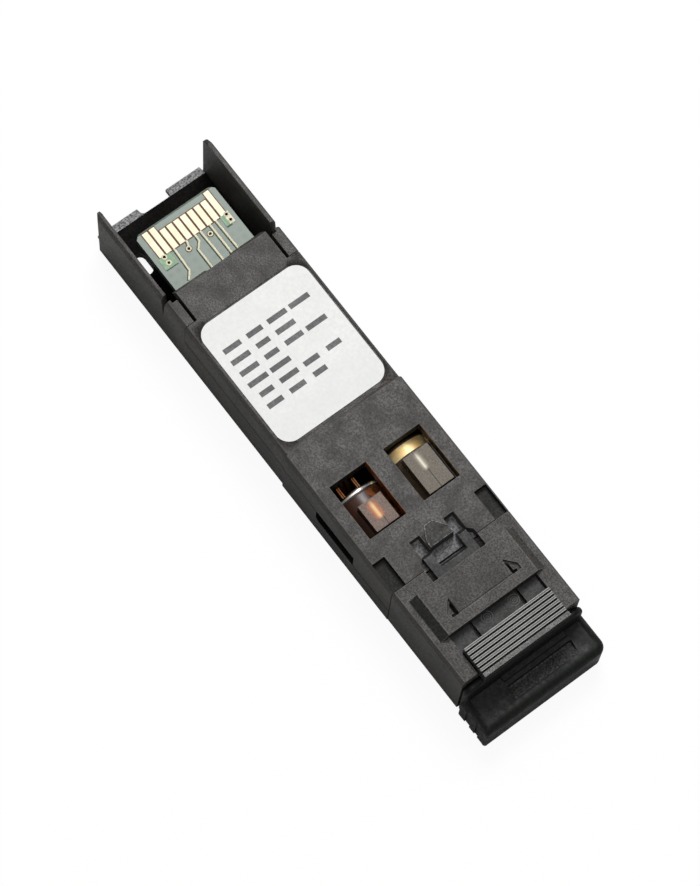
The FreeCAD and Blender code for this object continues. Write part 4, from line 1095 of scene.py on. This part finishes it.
@dataclass
class BoardAssembly:
    """Board with its contacts, bare rims, holes, tracks and small parts."""

    bench: Bench
    body: str = "housing"
    slot: str = "board_laminate"
    plated: str = "gold_contact"
    edge: float = 4.1
    top: float = 6.25
    pitch: float = 0.8
    middle_contact: float = 4.5
    long_start: float = 0.3
    short_start: float = 0.95
    contact_end: float = 3.25
    contact_width: float = 0.6
    # Contacts that start alike: the first, their number and their start.
    contact_runs: tuple[tuple[int, int, float], ...] = (
        (0, 2, long_start), (2, 7, short_start), (9, 1, long_start))
    rim: float = 0.09
    rim_height: float = 0.02
    # Patches by the outer holes: name, middle, size, finish and slot; the darker ones under the
    # pale patches are painted shadows.
    patches: tuple[tuple[Any, ...], ...] = (
        ("patch_shadow_laser", 8.14, -3.45, 1.34, 1.4, 0.006, SHADE, slot),
        ("patch_laser", 8.05, -3.45, 1.3, 1.4, 0.03, PALE, slot),
        ("patch_shadow_detector", 8.0, 3.42, 1.3, 0.62, 0.006, SHADE, slot),
        ("patch_detector", 7.89, 3.42, 1.18, 0.56, 0.03, PALE, slot),
        ("land_detector", 7.82, 3.87, 1.28, 0.58, 0.032, TINNED, plated))
    # Plated holes, and their layers: name, holes, radius, width, height, finish and slot.
    outer_holes: tuple[tuple[float, float], ...] = (
        (7.49, -3.49), (8.2, -3.48), (7.45, 3.85), (8.12, 3.87))
    middle_holes: tuple[tuple[float, float], ...] = ((8.17, -1.12), (8.15, 1.43))
    hole_layers: tuple[tuple[Any, ...], ...] = (
        ("via_rims", middle_holes, 0.31, 0.07, 0.006, BARE, slot),
        ("via_rings", outer_holes + middle_holes, 0.215, 0.15, 0.034, TINNED, plated),
        ("via_mouths", outer_holes + middle_holes, 0.07, 0.14, 0.036, MOUTH, slot))
    hole_base: float = 0.01
    # Paths of the tracks, and their layers: name, shift, width, height and finish; the first layer
    # is the tracks' painted shadow.
    tracks: tuple[tuple[tuple[float, float], ...], ...] = (
        ((7.3, -2.26), (9.95, -2.36), (10.72, -2.98)),
        ((7.3, -0.85), (7.62, -0.86), (8.0, -1.05)),
        ((7.3, 0.18), (8.1, 0.16), (8.75, -0.44), (11.4, -0.45)),
        ((7.3, 0.8), (11.4, 0.86)), ((7.3, 1.93), (11.4, 1.93)), ((7.3, 2.63), (11.4, 2.7)))
    track_layers: tuple[tuple[Any, ...], ...] = (
        ("track_shadows", -0.13, 0.16, 0.008, SHADE), ("board_tracks", 0.02, 0.21, 0.026, TINNED))

    def build(self) -> None:
        """Coats the board and adds what is printed and plated on it."""
        coat_nodes(MASK, "circuit_board")
        coat_nodes(CONTACT, "contacts_label_side", "contacts_far_side")
        coat_nodes(EPOXY, "laser_driver_chip", "receiver_amplifier_chip", "identity_memory_chip")
        coat_nodes(TAN, "supply_capacitors")
        coat_nodes(FERRITE, "filter_inductors")
        self.add_rims()
        self.add_patches()
        self.add_holes()
        self.add_tracks()

    def add_rims(self) -> None:
        """Lays the brown bare rims round the contacts."""
        for first, count, start in self.contact_runs:
            self.bench.lay_row(
                f"contact_rims_{first}", Mount(self.body, self.slot, BARE),
                (self.edge + (start + self.contact_end) / 2,
                 self.pitch * (first - self.middle_contact), self.top + self.rim_height / 2),
                (self.contact_end - start + 2 * self.rim, self.contact_width + 2 * self.rim,
                 self.rim_height), count, (0.0, self.pitch, 0.0))

    def add_patches(self) -> None:
        """Lays the patches of mask over copper by the outer holes with their painted shadows, and
        the land on one side.
        """
        for name, x, y, length, width, height, finish, slot in self.patches:
            self.bench.lay_row(name, Mount(self.body, slot, finish), (x, y, self.top + height / 2),
                               (length, width, height))

    def add_holes(self) -> None:
        """Adds the plated holes: rim, ring and mouth."""
        for name, holes, radius, width, height, finish, slot in self.hole_layers:
            level = self.top + self.hole_base + height / 2
            self.bench.lay_rings(name, Mount(self.body, slot, finish),
                                 [(x, y, level) for x, y in holes], radius, width, height)

    def add_tracks(self) -> None:
        """Adds the tracks under the mask, each with a painted shadow beside it."""
        for name, shift, width, height, finish in self.track_layers:
            shifted = [[(x, y + shift, self.top + height / 2) for x, y in path]
                       for path in self.tracks]
            self.bench.lay_ribbons(name, Mount(self.body, self.slot, finish), shifted, width,
                                   height)


@dataclass
class OpticsPair:
    """Laser and detector assemblies behind the two windows."""

    bench: Bench
    body: str = "housing"
    reach: float = 6.0
    barrel: tuple[float, float] = (36.0, 46.0)
    barrel_low: float = 3.0
    flank_facing: Triple = (0.0, 0.866, 0.5)
    facet_end: float = 42.0
    key_top: float = 8.1
    margin: float = 0.05
    lead_top: float = 5.25
    leads: tuple[tuple[str, float], ...] = (("outer", -4.0), ("inner", -2.25))
    line_x: float = 36.05
    line_slab: Triple = (1.4, 0.1, 0.12)
    line_step: float = 0.2

    def build(self) -> None:
        """Coats every optical piece and grinds the faces that look out of the windows."""
        start, end = self.barrel
        low, high = self.key_top - self.margin, self.key_top + self.margin
        for side in Side:
            name = side.name.lower()
            header, resin, facet, lit = ((NICKEL, AMBER, LASER_FACET, WARM) if side is Side.LASER
                                         else (HEADER, SMOKE, DETECTOR_FACET, UMBER))
            for piece, finish in (("header", header), ("cap", DARKENED_NICKEL), ("lens", GLASS),
                                  ("leads", LEAD), ("sleeve", ZIRCONIA)):
                coat_nodes(finish, f"{name}_{piece}")
            dress_node(f"{name}_barrel", Mount(self.body, "amber_barrel", resin), Edge.CRISP, (
                # The barrel's flank takes the window wall's tone as painted light through the
                # resin.
                FacePart(lit, (start, -self.reach, self.barrel_low), (end, self.reach, low),
                         self.flank_facing),
                FacePart(facet, (start, -self.reach, low), (self.facet_end, self.reach, high))))
        self.add_lead_lines()

    def add_lead_lines(self) -> None:
        """Lays painted highlight lines along the two leads that show in the laser's window.

        They are few and wide, because finer ones don't show.
        """
        for name, middle in self.leads:
            self.bench.lay_row(f"lead_lines_{name}", Mount(self.body, "gold_header", LEAD_HIGHLIGHT),
                               (self.line_x, middle - self.line_step / 2,
                                self.lead_top - self.margin),
                               self.line_slab, 2, (0.0, self.line_step, 0.0))


@dataclass
class ReleaseLatch:
    """Release slider with its ejector marks and ribs."""

    bench: Bench
    body: str = "slider"
    slot: str = "slider_moulding"
    plate_top: float = 8.05
    grip: tuple[float, float] = (55.35, 58.6)
    grip_top: float = 9.6
    grip_reach: float = 5.1
    margin: float = 0.05
    groove_z: tuple[float, float] = (9.15, 9.5)
    front_depth: float = 0.45
    front_low: float = 9.0
    front_facing: Triple = (0.3, 0.0, 0.954)
    marks: tuple[tuple[float, float], ...] = ((53.95, -1.0), (54.15, 1.95))
    mark_radii: tuple[float, ...] = (0.55, 0.32, 0.12)
    mark_ring: tuple[float, float] = (0.08, 0.03)
    ribs: int = 6
    rib_pitch: float = 0.47
    rib_width: float = 0.27
    rib_reach: float = 4.9
    rib_set: float = 0.03
    rib_line: tuple[float, float] = (0.05, 0.012)

    def build(self) -> None:
        """Dresses the slider and adds round ejector marks and painted highlight lines on the rib
        edges.
        """
        first, last = self.grip
        reach, top = self.grip_reach, self.grip_top + self.margin
        low, high = self.groove_z
        dress_node("release_slider", Mount(self.body, self.slot, SATIN_AND_SHADE), Edge.CRISP, (
            # Painted shade in the grooves between the ribs.
            FacePart(DEEP, (first, -reach, low), (last, reach, high)),
            FacePart(GREYED, (first, -reach, self.grip_top - self.margin), (last, reach, top),
                     UPWARD),
            FacePart(GRAINED, (last - self.front_depth, -reach, self.front_low),
                     (last + NEAR, reach, top), self.front_facing)))
        places = [(x, y, self.plate_top) for x, y in self.marks]
        for index, radius in enumerate(self.mark_radii):
            self.bench.lay_rings(f"ejector_rings_{index}", Mount(self.body, self.slot, GREYED),
                                 places, radius, *self.mark_ring)
        width, height = self.rib_line
        for index, offset in enumerate((self.rib_set, self.rib_width - self.rib_set)):
            self.bench.lay_row(f"rib_edges_{index}", Mount(self.body, self.slot, RIB_HIGHLIGHT),
                               (first + offset, 0.0, self.grip_top),
                               (width, 2 * self.rib_reach, height), self.ribs,
                               (self.rib_pitch, 0.0, 0.0))


@dataclass
class DustPlug:
    """Dust plug in the two ports."""

    body: str = "plug"
    patch_low: Triple = (59.2, -3.5, 3.8)
    patch_high: Triple = (61.2, 5.5, 4.44)
    patch_facing: Triple = (-0.42, 0.0, 0.9)

    def build(self) -> None:
        """Dresses the plug, with a textured patch in its finger groove that is lighter as painted
        light.
        """
        patch = FacePart(STIPPLED, self.patch_low, self.patch_high, self.patch_facing)
        dress_node("dust_plug", Mount(self.body, "plug_moulding", SUPPLE), Edge.ROUND, (patch,))


@dataclass
class Studio:
    """Camera, soft light and white floor."""

    azimuth: float = 46.364
    elevation: float = 71.476
    roll: float = 6.798
    distance: float = 0.332662
    focal_px: float = 3541.176
    target: Triple = (0.001027, -0.000028, 0.004)
    floor_reach: float = 3.0
    floor_drop: float = 0.00002
    paper: str = "#c4c4c4"
    glow: float = 1.12
    glow_share: float = 0.82
    sky: float = 0.2

    def build(self) -> None:
        """Sets up the picture."""
        self.add_camera()
        self.add_light("key_softbox", place=(-0.22, 0.17, 0.48), size=0.22, power=1.75)
        self.add_light("fill_softbox", place=(0.06, -0.05, 0.5), size=0.3, power=0.62)
        self.add_floor()
        self.set_world()
        bpy.context.scene.view_settings.view_transform = "Standard"

    def add_camera(self) -> None:
        """Camera at the photo's angle, worked out for a picture 886 pixels high."""
        az, el, roll = (math.radians(value) for value in (self.azimuth, self.elevation, self.roll))
        back = Vector((math.sin(az) * math.cos(el), -math.cos(az) * math.cos(el), math.sin(el)))
        level = Vector((math.cos(az), math.sin(az), 0.0))
        upright = back.cross(level)
        right = math.cos(roll) * level + math.sin(roll) * upright
        top = math.cos(roll) * upright - math.sin(roll) * level
        data = bpy.data.cameras.new("studio_camera")
        data.sensor_fit = "VERTICAL"
        data.sensor_height = 24.0
        data.lens = self.focal_px * data.sensor_height / IMAGE_HEIGHT
        data.clip_start = 0.01
        camera = bpy.data.objects.new("studio_camera", data)
        turn = Matrix((right, top, back)).transposed().to_4x4()
        camera.matrix_world = Matrix.Translation(Vector(self.target) + self.distance * back) @ turn
        bpy.context.scene.collection.objects.link(camera)
        bpy.context.scene.camera = camera

    def add_light(self, name: str, place: Triple, size: float, power: float) -> None:
        """Square softbox aimed at the module.

        Args:
            name: name of the lamp.
            place: where it stands.
            size: side of the square.
            power: power in watts.
        """
        data = bpy.data.lights.new(name, "AREA")
        data.size = size
        data.energy = power
        lamp = bpy.data.objects.new(name, data)
        lamp.location = place
        aim = Vector(self.target) - Vector(place)
        lamp.rotation_euler = aim.to_track_quat("-Z", "Y").to_euler()
        bpy.context.scene.collection.objects.link(lamp)

    def add_floor(self) -> None:
        """White floor that stays white in the picture and keeps a soft shadow."""
        mesh = bpy.data.meshes.new("studio_floor")
        far = self.floor_reach
        mesh.from_pydata([(-far, -far, 0), (far, -far, 0), (far, far, 0), (-far, far, 0)], [],
                         [(0, 1, 2, 3)])
        floor = bpy.data.objects.new("studio_floor", mesh)
        floor.location.z = -self.floor_drop
        bpy.context.scene.collection.objects.link(floor)
        material = bpy.data.materials.new("white_paper_floor")
        material.use_nodes = True
        tree = material.node_tree
        tree.nodes.clear()
        paper = add_node(tree, "ShaderNodeBsdfDiffuse", {"Color": linear(self.paper)})[0]
        glow = add_node(tree, "ShaderNodeEmission", {"Strength": self.glow})[0]
        rays = add_node(tree, "ShaderNodeLightPath")
        shown = add_node(tree, "ShaderNodeMath", {
            0: rays["Is Camera Ray"], 1: rays["Is Transmission Ray"]}, operation="MAXIMUM")[0]
        share = add_node(tree, "ShaderNodeMath", {0: shown, 1: self.glow_share},
                         operation="MULTIPLY")[0]
        both = add_node(tree, "ShaderNodeMixShader", {0: share, 1: paper, 2: glow})[0]
        add_node(tree, "ShaderNodeOutputMaterial", {"Surface": both})
        mesh.materials.append(material)

    def set_world(self) -> None:
        """Even white surroundings: plain light on the object, white where the camera looks."""
        world = bpy.data.worlds.new("studio_world")
        bpy.context.scene.world = world
        world.use_nodes = True
        tree = world.node_tree
        tree.nodes.clear()
        rays = add_node(tree, "ShaderNodeLightPath")
        level = add_node(tree, "ShaderNodeMapRange", {
            "Value": rays["Is Camera Ray"], "To Min": self.sky, "To Max": 1.0})["Result"]
        sky = add_node(tree, "ShaderNodeBackground", {"Strength": level})[0]
        add_node(tree, "ShaderNodeOutputWorld", {"Surface": sky})


def main() -> None:
    """Builds every sub-assembly in order."""
    logging.basicConfig(level=logging.INFO, format="%(name)s: %(message)s")
    bench = Bench()
    Studio().build()
    HousingShells(bench).build()
    LabelPanel(bench).build()
    BoardAssembly(bench).build()
    OpticsPair(bench).build()
    ReleaseLatch(bench).build()
    DustPlug().build()


if __name__ == "__main__":
    main()
